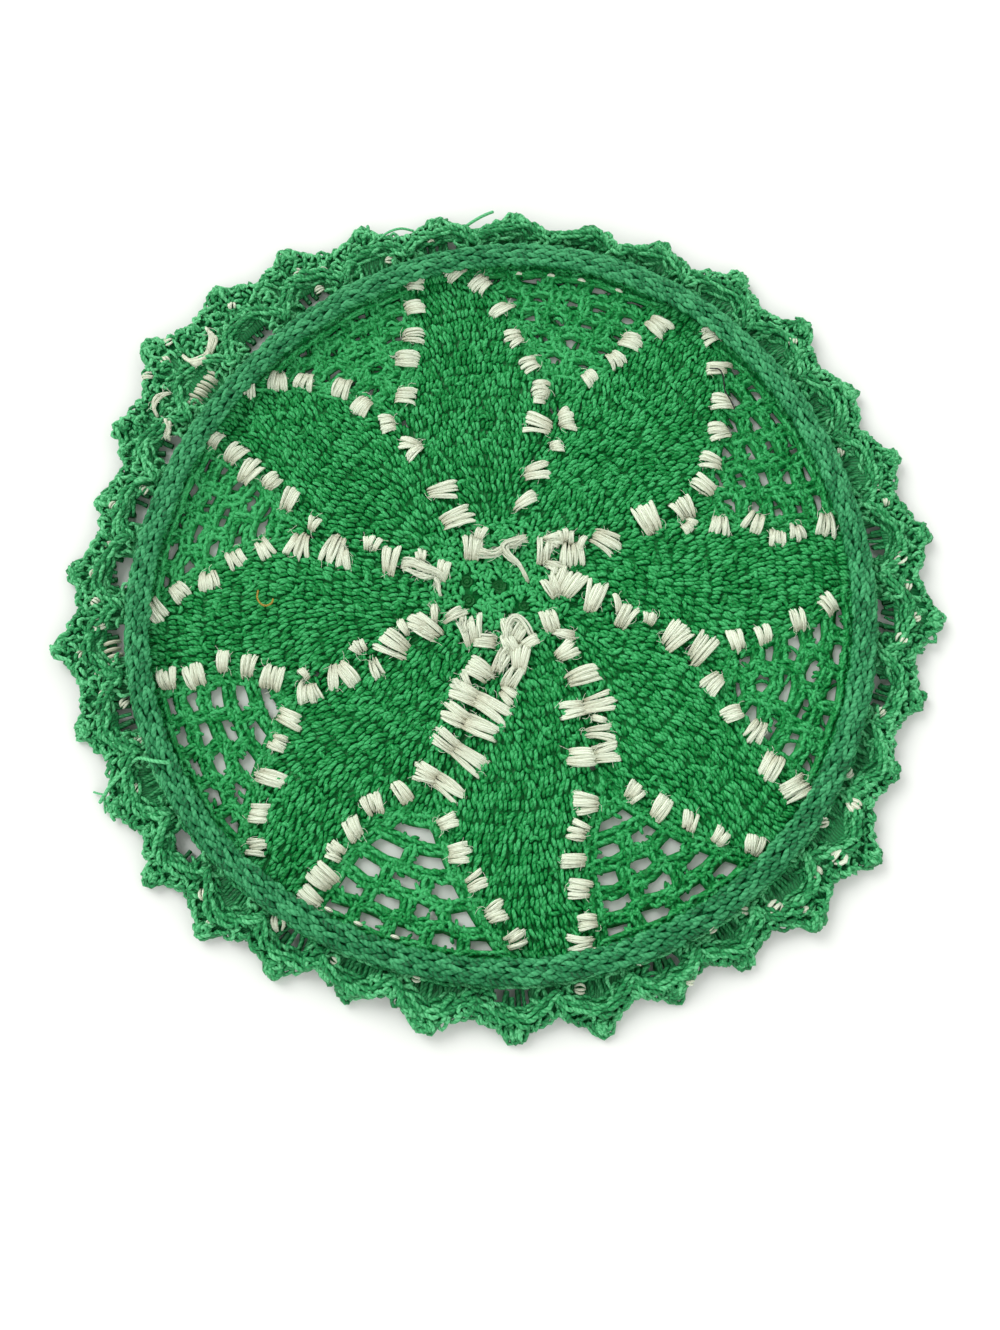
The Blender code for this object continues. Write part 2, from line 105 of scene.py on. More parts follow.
# One row for each scallop: the angle of its tip and how far it reaches, in mm.
SCALLOPS = (
    (7.2, 122.5), (18.5, 120.5), (29.7, 119.0), (40.9, 120.5), (52.8, 120.0), (65.2, 117.0), (75.8, 115.0),
    (87.4, 115.5), (99.7, 116.5), (110.6, 118.5), (122.0, 122.0), (133.3, 124.5), (145.2, 127.0),
    (156.8, 120.5), (167.4, 117.5), (177.9, 121.0), (188.4, 124.5), (199.6, 122.0), (210.6, 121.5),
    (220.6, 123.0), (230.3, 122.5), (240.4, 120.0), (250.0, 117.0), (260.6, 119.5), (272.0, 120.5),
    (283.0, 121.5), (292.8, 119.5), (302.4, 120.5), (312.4, 124.5), (323.2, 125.5), (333.9, 119.0),
    (344.0, 120.5), (355.2, 123.5),
)

# White tufts across the petals' outer edges: for each sector's clockwise and counter-clockwise
# edge, (radius in mm, angle) from the tip inwards.
TUFTS = (
    (((94.0, 11.1), (85.3, 10.7), (79.3, 10.1), (74.8, 14.6), (64.8, 16.1)),
     ((98.0, 50.2), (91.4, 45.4), (84.9, 40.2), (78.3, 35.8), (71.2, 30.8), (65.2, 26.7))),
    (((91.7, 59.6), (83.3, 62.5), (76.4, 63.7), (68.1, 67.5)),
     ((96.9, 97.8), (92.7, 93.3), (84.2, 89.4), (75.1, 86.5), (67.3, 82.2), (60.3, 78.0))),
    (((95.5, 105.2), (88.3, 106.5), (79.8, 108.5), (73.5, 111.8), (62.9, 115.7)),
     ((95.3, 140.0), (89.0, 136.1), (83.5, 132.5), (74.9, 127.6), (66.7, 126.2))),
    (((92.7, 152.3), (85.2, 152.9), (78.7, 154.9), (71.6, 154.7), (64.4, 157.2)),
     ((95.6, 184.1), (89.0, 181.0), (80.7, 178.8), (74.1, 173.8), (66.6, 170.7))),
    (((94.5, 196.3), (87.1, 197.1), (78.7, 195.8), (72.6, 198.3), (67.3, 202.6)),
     ((95.9, 227.9), (89.3, 224.3), (81.5, 220.9), (74.2, 216.2), (68.2, 212.8))),
    (((98.0, 239.8), (91.6, 239.6), (84.4, 239.2), (77.1, 239.8), (69.0, 240.7), (62.7, 245.5)),
     ((94.7, 272.5), (88.1, 269.0), (80.5, 265.5), (73.5, 261.7), (66.2, 258.0))),
    (((99.0, 282.8), (93.2, 284.6), (84.8, 284.6), (77.4, 285.0), (70.5, 287.5), (64.3, 291.4)),
     ((97.8, 313.5), (90.2, 310.5), (82.1, 308.2), (74.6, 305.2), (67.4, 302.2))),
    (((97.0, 324.8), (88.3, 325.8), (80.5, 329.9), (72.8, 330.7), (64.8, 335.1)),
     ((91.5, 356.5), (83.2, 353.2), (74.3, 349.1), (67.1, 346.6))),
)
TUFT_LENGTH = 6.2 * MM             # across the edge
TUFT_WIDTH = 4.2 * MM

# White tufts along the petals' seams, for each sector: radius and how far off the seam, counter-
# clockwise positive; length and width; the way its strands run, in degrees from outward; lobes.
STEM_TUFTS = (
    ((32.5, -1.0, 9.5, 6.0, -50, 5), (46.3, 1.0, 10.5, 7.0, 92, 5), (57.0, 1.5, 7.5, 6.2, 95, 4),
     (56.0, -3.4, 3.4, 5.0, -60, 3)),
    ((25.5, -0.8, 8.5, 3.8, -48, 2), (35.0, -1.5, 8.0, 5.5, -60, 4), (43.8, -4.4, 4.2, 3.6, -70, 3),
     (49.2, 2.2, 9.5, 5.8, 88, 4), (52.8, -4.6, 4.6, 7.4, -58, 4), (58.0, 4.3, 4.2, 6.4, 92, 4)),
    ((23.0, 1.0, 10.0, 6.0, -96, 5), (32.0, 1.0, 9.8, 4.8, -112, 3), (46.4, 1.4, 7.4, 2.8, 104, 2),
     (49.0, 1.6, 7.6, 3.0, 52, 2), (57.4, 4.2, 4.6, 5.8, 70, 4)),
    ((31.3, 0.0, 9.0, 4.8, -84, 4), (36.2, -3.6, 4.6, 2.2, -108, 1), (38.6, -2.9, 4.0, 3.0, -80, 2),
     (43.4, 2.6, 7.5, 2.3, 118, 1), (47.4, 1.8, 10.4, 6.6, 86, 4), (57.3, 4.2, 8.2, 6.4, 90, 5),
     (55.2, -3.0, 4.4, 2.8, -100, 2)),
    ((23.8, 0.0, 9.8, 6.2, -62, 4), (28.9, -3.4, 6.0, 1.9, -88, 1), (33.2, -0.6, 10.4, 6.8, -62, 4),
     (41.0, 3.4, 6.4, 3.4, 84, 3), (42.0, -3.7, 3.8, 4.8, -78, 3), (48.4, 1.6, 9.0, 4.4, 100, 3),
     (52.0, 1.8, 8.0, 3.2, 66, 2), (59.7, 3.6, 6.0, 6.8, 72, 4), (58.6, -1.4, 4.0, 1.7, -84, 1)),
    ((32.7, 0.8, 16.0, 5.2, 76, 4), (39.3, 0.2, 15.5, 5.2, 74, 4), (47.0, 1.2, 16.0, 5.4, 74, 4),
     (56.0, 1.6, 13.6, 4.8, 86, 4)),
    ((26.3, 2.0, 6.4, 5.2, 82, 4), (34.0, 1.8, 9.6, 5.2, 72, 4), (41.6, 0.4, 14.4, 5.0, 66, 4),
     (46.2, 2.6, 5.0, 2.0, 40, 1), (49.2, 2.0, 9.6, 3.4, 62, 2), (54.6, 3.4, 8.0, 6.2, 70, 4),
     (52.2, -4.4, 9.0, 6.0, 60, 4)),
    ((26.3, 3.0, 9.6, 5.6, 84, 4), (33.2, 2.6, 6.0, 2.4, 112, 1), (36.0, 0.4, 9.0, 4.8, 76, 3),
     (42.7, 2.6, 3.6, 3.8, 90, 3), (50.2, 0.8, 9.4, 6.4, 66, 5), (58.6, 1.2, 11.0, 6.2, 68, 4)),
)


# ---------------------------------------------------------------- shape rules
def stray(size, *shape):
    """Random amounts, as many as the shape says, that stray from zero by about the size."""
    return size * chance.normal(size=shape)


def unit(vectors):
    return vectors / (np.linalg.norm(vectors, axis=-1, keepdims=True) + 1e-12)


def hump(along):
    """1 at the middle of a strand that runs from -0.5 to 0.5, and 0 at its ends."""
    return 1.0 - (2.0 * along) ** 2


def turned(ahead, aside, angle):
    """Steps ahead and aside, turned by an angle in radians."""
    return ahead * np.cos(angle) - aside * np.sin(angle), ahead * np.sin(angle) + aside * np.cos(angle)


def spaced(count):
    """Middles of a number of equal parts, from -1 to 1."""
    return (2.0 * np.arange(count) + 1.0) / count - 1.0


def smooth(value, low, high):
    share = np.clip((value - low) / (high - low), 0.0, 1.0)
    return share * share * (3.0 - 2.0 * share)


def plan(radius, degrees):
    """x and y of a place given from the medallion's centre."""
    angle = np.radians(degrees)
    return radius * np.cos(angle), CENTRE_Y + radius * np.sin(angle)


def waviness(x, y):
    """Soft hills and dips, from -1 to 1; a hill is about 100 mm from the next."""
    return 0.5 * np.sin(x * 61.0 + 0.7) * np.cos(y * 47.0 - 0.4) + 0.5 * np.sin((x + y) * 38.0 + 2.1)


def ring_radius(degrees):
    radius = RING_RADIUS
    for lobes, size, direction in RING_LOBES:
        radius = radius + size * np.cos(np.radians(lobes * (degrees - direction)))
    return radius


def drawn(radius, degrees):
    """Real radius of a place of the petals and net, drawn in or out to end at the uneven ring."""
    outward = np.maximum(0.0, (radius - SPLIT_RADIUS) / (RING_RADIUS - SPLIT_RADIUS))
    return radius + outward * (ring_radius(degrees) - RING_RADIUS)


def undrawn(radius, degrees):
    """The pattern's radius of a place given by its real radius."""
    stretch = 1.0 + (ring_radius(degrees) - RING_RADIUS) / (RING_RADIUS - SPLIT_RADIUS)
    return np.where(radius > SPLIT_RADIUS, SPLIT_RADIUS + (radius - SPLIT_RADIUS) / stretch, radius)


def net_top(radius, degrees):
    """Height of the net's upper face at a place of the pattern."""
    real = drawn(radius, degrees)
    x, y = plan(real, degrees)
    lift = RIM_LIFT * smooth(real - ring_radius(degrees), RIM_LIFT_FROM, RIM_LIFT_TO)
    return NET_THICKNESS + lift + UNEVEN_HEIGHT * waviness(x, y)


def rim_radius(degrees):
    return ring_radius(degrees) + RIM_PAST_RING


def seam_angle(sector, radius):
    apex, _, _, seam_turn = sector
    outward = np.clip((radius - SEAM_FROM) / (SPLIT_RADIUS - SEAM_FROM), 0.0, 1.0)
    return apex + seam_turn * (1.0 - outward)


def edge_angle(sector, side, radius):
    """Angle of one edge of a net sector, which inside SPLIT_RADIUS is the petals' seam."""
    apex, clockwise, counter, _ = sector
    if side == CLOCKWISE:
        radii, shares = zip(*CLOCKWISE_PROFILE)
        spread = -clockwise * np.interp(radius / MM, radii, shares)
    else:
        share = (radius - SPLIT_RADIUS) / (NET_RIM_RADIUS - SPLIT_RADIUS)
        spread = counter * (COUNTER_START + (1.0 - COUNTER_START) * share)
    return np.where(radius < SPLIT_RADIUS, seam_angle(sector, radius), apex + spread)


def wander(size, degrees, waves, phase):
    """A gentle wave around the doily."""
    return size * np.sin(np.radians(degrees) * waves + phase)


def sector_edges(sector, radius, margin=0.0):
    """Angles of a sector's two edges, drawn in by a margin in metres."""
    margin = np.degrees(margin / radius)
    return edge_angle(sector, CLOCKWISE, radius) + margin, edge_angle(sector, COUNTER, radius) - margin


def petal_edges(petal, radius):
    """Angles of a petal's two edges, the second one larger than the first."""
    before, after = SECTORS[petal], SECTORS[(petal + 1) % len(SECTORS)]
    start, end = edge_angle(before, COUNTER, radius), edge_angle(after, CLOCKWISE, radius)
    return start, np.where(end < start, end + 360.0, end)


def petal_top(petal, radius, degrees):
    """Height of the petal's upper face, crowned along its middle."""
    start, end = petal_edges(petal, radius)
    share = np.clip((degrees - start) / (end - start), 0.0, 1.0)
    across = np.sin(math.pi * share) ** CROWN_POWER
    along = smooth(radius, *CROWN_RISES) * (1.0 - smooth(radius, *CROWN_FALLS))
    return net_top(radius, degrees) + PETAL_CROWN * across * along


# ---------------------------------------------------------------- strands
PAINTED_SIDE_SHADE = 0.26                  # painted light and shade: how much darker a strand's tone is at its sides than on top
PAINTED_SIDE_SHADE_FROM = 0.45
TIP_REACH = 0.8                    # a strand's tip stands out by this share of its radius


class Strands:
    """Tapered tubes of thread, collected as arrays and joined into one mesh."""

    def __init__(self, sides=5, side_shade=PAINTED_SIDE_SHADE):
        self.sides, self.side_shade, self.parts = sides, side_shade, []

    def add(self, paths, thickness, tones, flat=1.0, tips=False):
        """paths: (count, steps, 3), or one strand's (steps, 3); thickness and tones fit (count, steps)."""
        if len(paths):
            paths = paths.reshape(-1, *paths.shape[-2:])
            radii = np.broadcast_to(np.asarray(thickness) / 2.0, paths.shape[:2])
            self.parts.append((paths, radii, np.broadcast_to(tones, paths.shape[:2]), flat, tips))

    def mesh(self, name):
        """Each part's points come ring by ring along each strand, then the points of its tips."""
        turn = 2.0 * math.pi * np.arange(self.sides) / self.sides
        points, shades, corners, sizes, maps = [], [], [], [], []
        first = 0
        for paths, radii, tones, flat, tips in self.parts:
            count, steps, _ = paths.shape
            ahead = unit(np.gradient(paths, axis=1))
            aside = unit(np.cross(ahead, UP) + 1e-9)[:, :, None]
            over = np.cross(aside[:, :, 0], ahead)[:, :, None]
            round_trip = np.cos(turn)[:, None] * aside + flat * np.sin(turn)[:, None] * over
            rings = paths[:, :, None] + radii[:, :, None, None] * round_trip
            # Painted light and shade: each ring of a strand is lighter on top and darker at its sides and
            # underneath.
            ring_shades = tones[:, :, None] + self.side_shade * (np.sin(turn) - PAINTED_SIDE_SHADE_FROM)
            ends = np.stack((paths[:, 0] - ahead[:, 0] * radii[:, :1] * TIP_REACH,
                             paths[:, -1] + ahead[:, -1] * radii[:, -1:] * TIP_REACH), axis=1)
            each = steps * self.sides + (2 if tips else 0)
            all_points = np.concatenate((rings.reshape(count, -1, 3), ends), axis=1)
            all_shades = np.concatenate((ring_shades.reshape(count, -1), tones[:, [0, -1]]), axis=1)
            points.append(all_points[:, :each].reshape(-1, 3))
            shades.append(all_shades[:, :each].ravel())
            along = np.zeros((count, steps))
            along[:, 1:] = np.cumsum(np.linalg.norm(np.diff(paths, axis=1), axis=2), axis=1)
            along /= 2.0 * radii.mean()
            for point, step, side in self.faces(steps, tips):
                corners.append((point + (first + np.arange(count) * each)[:, None, None]).ravel())
                sizes.append(np.full(count * len(point), point.shape[1]))
                on_thread = np.broadcast_arrays(along[:, step], side / self.sides)
                maps.append(np.stack(on_thread, axis=-1).reshape(-1, 2))
            first += count * each
        return self.as_mesh(name, *(np.concatenate(part) for part in (points, shades, corners, sizes, maps)))

    def faces(self, steps, tips):
        """One strand's faces: each corner's point, its step along the strand and its side around it."""
        step, side = np.meshgrid(range(steps - 1), range(self.sides), indexing="ij")
        step = step.reshape(-1, 1) + np.array((0, 1, 1, 0))
        side = side.reshape(-1, 1) + np.array((0, 0, 1, 1))
        groups = [(step * self.sides + side % self.sides, step, side)]
        if tips:
            side = np.arange(self.sides)[:, None] + np.array(((0.5, 0.0, 1.0), (0.5, 1.0, 0.0)))[:, None]
            side = side.reshape(-1, 3)
            step = np.repeat((0, steps - 1), self.sides)[:, None] + np.zeros(3, int)
            point = step * self.sides + side.astype(int) % self.sides
            point[:, 0] = steps * self.sides + (step[:, 0] > 0)
            groups.append((point, step, side))
        return groups

    @staticmethod
    def as_mesh(name, points, shades, corners, sizes, maps):
        points[:, 2] = np.maximum(points[:, 2], 0.0)        # the lowest strands press flat on the floor
        data = bpy.data.meshes.new(name)
        data.vertices.add(len(points))
        data.vertices.foreach_set("co", points.astype(np.float32).ravel())
        data.loops.add(len(corners))
        data.loops.foreach_set("vertex_index", corners.astype(np.int32))
        data.polygons.add(len(sizes))
        data.polygons.foreach_set("loop_start", (np.cumsum(sizes) - sizes).astype(np.int32))
        thread_map = data.uv_layers.new(name="thread")
        thread_map.data.foreach_set("uv", maps.astype(np.float32).ravel())
        data.update(calc_edges=True)
        data.validate()
        return with_tones(data, shades)


def with_tones(data, tones):
    """Gives a mesh the tone at each point that the cotton's colour follows; it carries random tones and
    painted light and shade.
    """
    tone = data.attributes.new("tone", "FLOAT", "POINT")
    tone.data.foreach_set("value", np.broadcast_to(tones, len(data.vertices)).astype(np.float32))
    data.shade_smooth()
    return data


def add_piece(name, shape, look, replaces=True):
    """Puts a mesh or strands into the scene; look is the piece's material, solid and slot; the slot is not
    used.
    """
    material, node, slot = look
    data = shape.mesh(name) if isinstance(shape, Strands) else shape
    piece = bpy.data.objects.new(name, data)
    bpy.context.scene.collection.objects.link(piece)
    data.materials.append(material)
    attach(piece, "root")
    if replaces:
        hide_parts(node)
    return piece


def to_paths(radius, degrees, height):
    x, y = plan(radius, degrees)
    return np.stack(np.broadcast_arrays(x, y, height), axis=-1)


def pattern_paths(radius, degrees, height):
    return to_paths(drawn(radius, degrees), degrees, height)


def centre_paths(x, y, height):
    """Paths given by x and y from the doily's centre."""
    return np.stack((x, y + CENTRE_Y, height), axis=-1)


def random_tones(count, spread=1.0):
    return 0.5 + spread * (chance.random((count, 1)) - 0.5)


# A stitch leg from its root to where the next row covers it: along the stitch, out from its
# middle, and up, in shares of the stitch's height, half its width, and the thread.
STITCH_LEG = np.array((
    (-0.06, 0.72, -1.00), (0.20, 0.92, -0.08), (0.52, 1.04, 0.22), (0.84, 0.98, -0.05), (1.12, 0.76, -1.00),
))
LEG_THICKNESS = np.array((0.70, 1.00, 1.06, 1.00, 0.70))
LEG_STAGGER = 0.12                 # how far a stitch's legs lie before and behind its middle, in its height
LEG_SPREAD = 0.52                  # how far out they lie, in half the stitch's width
END_PAINTED_SHADE = np.array((-0.30, 0.00, 0.08, 0.00, -0.30))      # painted shade: strands are darker where they dive under


def add_stitches(strands, radius, degrees, top, width, lean, rough=1.0):
    """V-shaped stitches at many places; top gives the face's height for radii and angles."""
    count = len(degrees)
    for side in (-1.0, 1.0):
        along = STITCH_LEG[:, 0] * (1.0 + stray(0.10 * rough, count, 1))
        along = (along + LEG_STAGGER * side + stray(0.07 * rough, count, 1)) * STITCH_HEIGHT
        out = side * STITCH_LEG[:, 1] * (width / 2.0 - THREAD * 0.02) * LEG_SPREAD
        out = out + lean[:, None] * along + stray(0.08 * rough * THREAD, count, 1)
        up = (STITCH_LEG[:, 2] - 0.5) * THREAD + stray(0.10 * rough * THREAD, count, 1)
        place = np.reshape(radius, (-1, 1)) + along + stray(0.10 * rough * THREAD, count, 1)
        angle = degrees[:, None] + np.degrees(out / place)
        paths = pattern_paths(place, angle, top(place, angle) + up)
        strands.add(paths, LEG_THICKNESS * THREAD, random_tones(count) + END_PAINTED_SHADE)


def even_angles(start, end, radius, width):
    """Angles of stitches that fill an arc, and the width that each gets."""
    length = radius * math.radians(end - start)
    count = max(1, round(length / width))
    return start + (end - start) * (np.arange(count) + 0.5) / count, length / count


# ---------------------------------------------------------------- chains
CHAIN_LEG = np.array((
    (-0.25, 0.12, -0.60), (0.15, 0.62, 0.02), (0.60, 0.98, 0.25), (1.05, 0.82, 0.10), (1.40, 0.30, -0.60),
))
CHAIN_THICKNESS = np.array((0.70, 1.0, 1.05, 1.0, 0.70))
CORE_DEPTH = 0.6                   # the core lies this far under the route, in threads
CORE_TONE = 0.25


def along_route(route, lengths, at):
    """Places at some lengths along a route, whose own points lie at the given lengths."""
    return np.stack([np.interp(at, lengths, column) for column in np.transpose(route)], axis=1)


def resample(route, step):
    """Evenly spaced places along a route, with the directions ahead and aside."""
    lengths = np.concatenate(((0.0,), np.cumsum(np.linalg.norm(np.diff(route, axis=0), axis=1))))
    count = max(2, round(lengths[-1] / step))
    at = np.linspace(0.0, lengths[-1], count, endpoint=False)
    places = along_route(route, lengths, at)
    ahead = unit(along_route(route, lengths, at + step * 0.5) - places)
    return places, ahead, unit(np.cross(UP, ahead)), lengths[-1] / count


def add_chain(strands, route, half_width=0.62 * MM, link=LINK, thread=THREAD, rough=1.0, core=1.15,
              tone_spread=1.0, tone=0.0):
    """A chain of loops along a route: two legs a link, over a plain core."""
    places, ahead, aside, step = resample(route, link)
    count = len(places)
    for side in (-1.0, 1.0):
        shift = stray(0.07 * rough * thread, count, 1, 3)
        swing = 1.0 + stray(0.12 * rough, count, 1, 1)
        paths = (places[:, None, :] + ahead[:, None, :] * CHAIN_LEG[None, :, :1] * step
                 + side * swing * aside[:, None, :] * CHAIN_LEG[None, :, 1:2] * half_width
                 + UP * CHAIN_LEG[None, :, 2:] * thread + shift)
        strands.add(paths, CHAIN_THICKNESS * thread, random_tones(count, tone_spread) + END_PAINTED_SHADE + tone)
    if core:
        line = along_route(route, np.linspace(0.0, 1.0, len(route)), np.linspace(0.0, 1.0, count + 1))
        strands.add(line - UP * thread * CORE_DEPTH, thread * core, CORE_TONE)


LOOP_THICKNESS = np.array((0.72, 1.0, 1.05, 1.0, 0.72))
LOOP_DEPTH = 0.55                  # a loop lies this far under the face, in threads
LOOP_DIVE, LOOP_POWER = 13.0, 2.6  # how deep and how suddenly its ends dive


def add_loops(strands, radius, degrees, top, length, thread, turn, lift=0.0, arch=0.35 * MM, rough=1.0,
              as_paths=pattern_paths, tone=0.0):
    """Short bent strands at many places, each turned its own way; turn is degrees from outward."""
    count = len(radius)
    step = np.linspace(-0.5, 0.5, 5)
    turn = np.radians(np.broadcast_to(turn, count))[:, None]
    size = length * (1.0 + stray(0.15 * rough, count, 1))
    curl = stray(0.22 * size * rough, count, 1)
    outward, around = turned(step * size, curl * hump(step), turn)
    place = radius[:, None] + outward
    angle = degrees[:, None] + np.degrees(around / place)
    rise = arch * (1.0 - LOOP_DIVE * np.abs(step) ** LOOP_POWER) + stray(0.12 * thread * rough, count, 1)
    height = top(place, angle) - thread * LOOP_DEPTH + lift + rise
    tones = random_tones(count) + END_PAINTED_SHADE + tone
    strands.add(as_paths(place, angle, height), thread * LOOP_THICKNESS, tones)


# ---------------------------------------------------------------- petals and centre
PETAL_ROWS_FROM = 20.0 * MM
PETAL_ROWS_TO = 96.0 * MM
HUB_ROWS_FROM = 3.4 * MM
PETAL_SIDE_MARGIN = 0.5 * MM
BAR_SHARE = 0.11                   # how many stitches carry a loop lying across them
BAR_LENGTH = 2.5 * MM
BAR_RISE = 0.22 * MM
ROW_SHIFT = 0.25                   # odd rows lie this much further around, in a stitch's width
ROW_BOW = 0.5 * MM                 # a row of stitches wanders out and in by this much
ROW_LEAN = 0.14                    # stitches lean one way in even rows, the other way in odd ones
FLOW_LEAN = 0.30                   # and sway together by this much
FLOW_STEP = 9.0 * MM               # outward, the sway's phase moves by one radian in this length
HUB_STITCH = 1.75 * MM             # pitch of the small knots near the centre
HUB_LOOP = 2.3 * MM
HUB_THREAD = 1.15 * MM
HUB_TURNS = (35.0, -55.0)          # ways that a knot's two loops run
HUB_TURN_STRAY = 38.0
HUB_TONE = 0.36
# Circles of dark thread in the centre hole, painted shade for the deep hole: how far inside its edge, and
# their height.
CENTRE_CIRCLES = ((0.0, 1.0 * MM), (0.5 * MM, 0.8 * MM), (1.2 * MM, 0.7 * MM))
# Tone of the painted shade in the centre hole.
HOLE_PAINTED_SHADE = -0.9
# Eyelets near the centre, left open between stitches and darkened with painted shade: x, y from the centre
# and radius.
EYELETS = ((-9.0, 1.4, 2.6), (-8.4, -4.1, 2.6), (7.0, -5.5, 2.3), (3.1, -8.4, 2.0))
EYELET_CIRCLES = (0.1875, 0.5625)  # circles of dark thread in an eyelet, painted shade, in shares of its radius
EYELET_DEPTH = 1.35 * MM
EYELET_PAINTED_SHADE = -0.8


def petal_stitches(petal):
    strands = Strands()
    for row, radius in enumerate(np.arange(PETAL_ROWS_FROM, PETAL_ROWS_TO, STITCH_HEIGHT)):
        start, end = petal_edges(petal, radius)
        margin = math.degrees(PETAL_SIDE_MARGIN / radius)
        degrees, width = even_angles(float(start) + margin, float(end) - margin, radius, STITCH_WIDTH)
        if row % 2:
            degrees = degrees + math.degrees(ROW_SHIFT * width / radius)
        bow = wander(ROW_BOW, degrees, waves=9, phase=row * 1.7)
        flow = wander(FLOW_LEAN, degrees, waves=6, phase=radius / FLOW_STEP)
        lean = flow + stray(0.18, len(degrees)) + (ROW_LEAN if row % 2 else -ROW_LEAN)
        add_stitches(strands, radius + bow, degrees, lambda r, d: petal_top(petal, r, d), width, lean,
                     rough=1.4)
        spare = chance.random(len(degrees)) < BAR_SHARE
        spots = degrees[spare] + stray(math.degrees(0.6 * MM / radius), spare.sum())
        add_loops(strands, radius + stray(0.9 * MM, len(spots)), spots, lambda r, d: petal_top(petal, r, d),
                  BAR_LENGTH, THREAD, 90.0 + stray(35.0, len(spots)), lift=BAR_RISE)
    return strands


def hub_stitches():
    strands = Strands()
    for radius in np.arange(HUB_ROWS_FROM, PETAL_ROWS_FROM, HUB_STITCH):
        degrees = even_angles(0.0, 360.0, radius, HUB_STITCH)[0]
        degrees = degrees + 360.0 * chance.random() + stray(np.degrees(0.3 * MM / radius), len(degrees))
        x, y = plan(radius, degrees)
        keep = np.ones(len(degrees), bool)
        for eye_x, eye_y, eye_radius in EYELETS:
            keep &= np.hypot(x - eye_x * MM, y - CENTRE_Y - eye_y * MM) > eye_radius * MM
        degrees = degrees[keep]
        for turn in HUB_TURNS:
            place = radius + stray(0.35 * MM, len(degrees))
            add_loops(strands, place, degrees, net_top, HUB_LOOP, HUB_THREAD,
                      turn + stray(HUB_TURN_STRAY, len(degrees)), lift=0.15 * MM, rough=0.8, tone=HUB_TONE)
    turn = np.linspace(0.0, 360.0, 13)
    # Dark circles of thread in the centre hole and in the eyelets: painted shade.
    for inside, height in CENTRE_CIRCLES:
        strands.add(to_paths(CENTRE_HOLE_RADIUS - inside, turn, height), THREAD * 1.2, HOLE_PAINTED_SHADE)
    for eye_x, eye_y, eye_radius in EYELETS:
        for share in EYELET_CIRCLES:
            x = (eye_x + share * eye_radius * np.cos(np.radians(turn))) * MM
            y = (eye_y + share * eye_radius * np.sin(np.radians(turn))) * MM
            strands.add(centre_paths(x, y, face_height(x, y) - EYELET_DEPTH), THREAD, EYELET_PAINTED_SHADE)
    return strands


# ---------------------------------------------------------------- net
# Chains along a sector's edges: how far inside the edge, and from which radius.
EDGE_CHAINS = ((1.2 * MM, SPLIT_RADIUS + 2.0 * MM), (3.1 * MM, SPLIT_RADIUS + 8.0 * MM))
NET_ROPE_DEPTH = 0.60 * MM         # a rope's legs lie this far under the net's top
NET_ROPE_HALF = 1.15 * MM
NET_SKIRT = 4.3 * MM               # width of a rope's underside
NET_SKIRT_FLAT = 0.36
NET_SKIRT_DEPTH = 0.85 * MM
# The rope's underside is painted darker: painted shade under the rope.
NET_SKIRT_PAINTED_SHADE = 0.30
NET_LOOP = 2.5 * MM
NET_LOOP_PITCH = 1.68 * MM
NET_LOOP_STRAY = 1.0 * MM
CORNER = 1.5 * MM                  # a loop lies across each corner of a gap, this far along its sides
CORNER_LOOP = 2.9 * MM
CORNER_STRAY = (0.4 * MM, 0.30)    # in radius, and in degrees
# How full each sector's ropes are, how much lighter it is, and the dark strands low in each of its gaps,
# painted shade.
NET_FULLNESS = (1.10, 1.22, 1.24, 1.08, 0.98, 0.94, 1.02, 1.10)
NET_TONE = (0.05, 0.12, 0.26, 0.36, 0.10, 0.10, -0.05, 0.05)
DEEP_SHADE_STRANDS = (1, 2, 2, 1, 0, 0, 0, 1)
NET_THREAD = 1.20 * MM
NET_LINK = 2.35 * MM
ARCH = 0.5 * MM                    # how far a loop of chain bows out over its gap
ARC_WANDER = 0.35 * MM
POST_SLANT = 1.0 * MM
ROPE_MARGIN = 2.0 * MM             # a rope ends this far inside the sector's edges
POST_MARGIN = 0.3 * MM             # and a post this far from its ropes
NET_FILL_TO = 67.0 * MM            # the sector is dense up to here
FILL_MARGIN = 2.2 * MM
FILL_ROOM = 0.6 * STITCH_WIDTH     # the least room for a stitch
# Dark strands that lie low in the net's gaps are painted shade.
DEEP_LENGTH = 5.4 * MM
DEEP_THREAD = 1.10 * MM
DEEP_BELOW = 0.90 * MM             # they lie this far under the net's top
DEEP_PAINTED_SHADE = -0.25
NET_ROPE_LAST = 97.6 * MM


def net_gaps(sector, radius):
    """Middles of a row's gaps in degrees, and the pitch between them in metres."""
    start, end = (radius * np.radians(degrees) for degrees in sector_edges(sector, radius, NET_MARGIN))
    width = end - start
    count = max(1, int((width + NET_STRAND) / NET_GAP_PITCH + NET_CROWDING))
    pitch = (width + NET_STRAND) / count
    first = start + (pitch - NET_STRAND) / 2.0
    return np.degrees((first + pitch * np.arange(count)) / radius), pitch


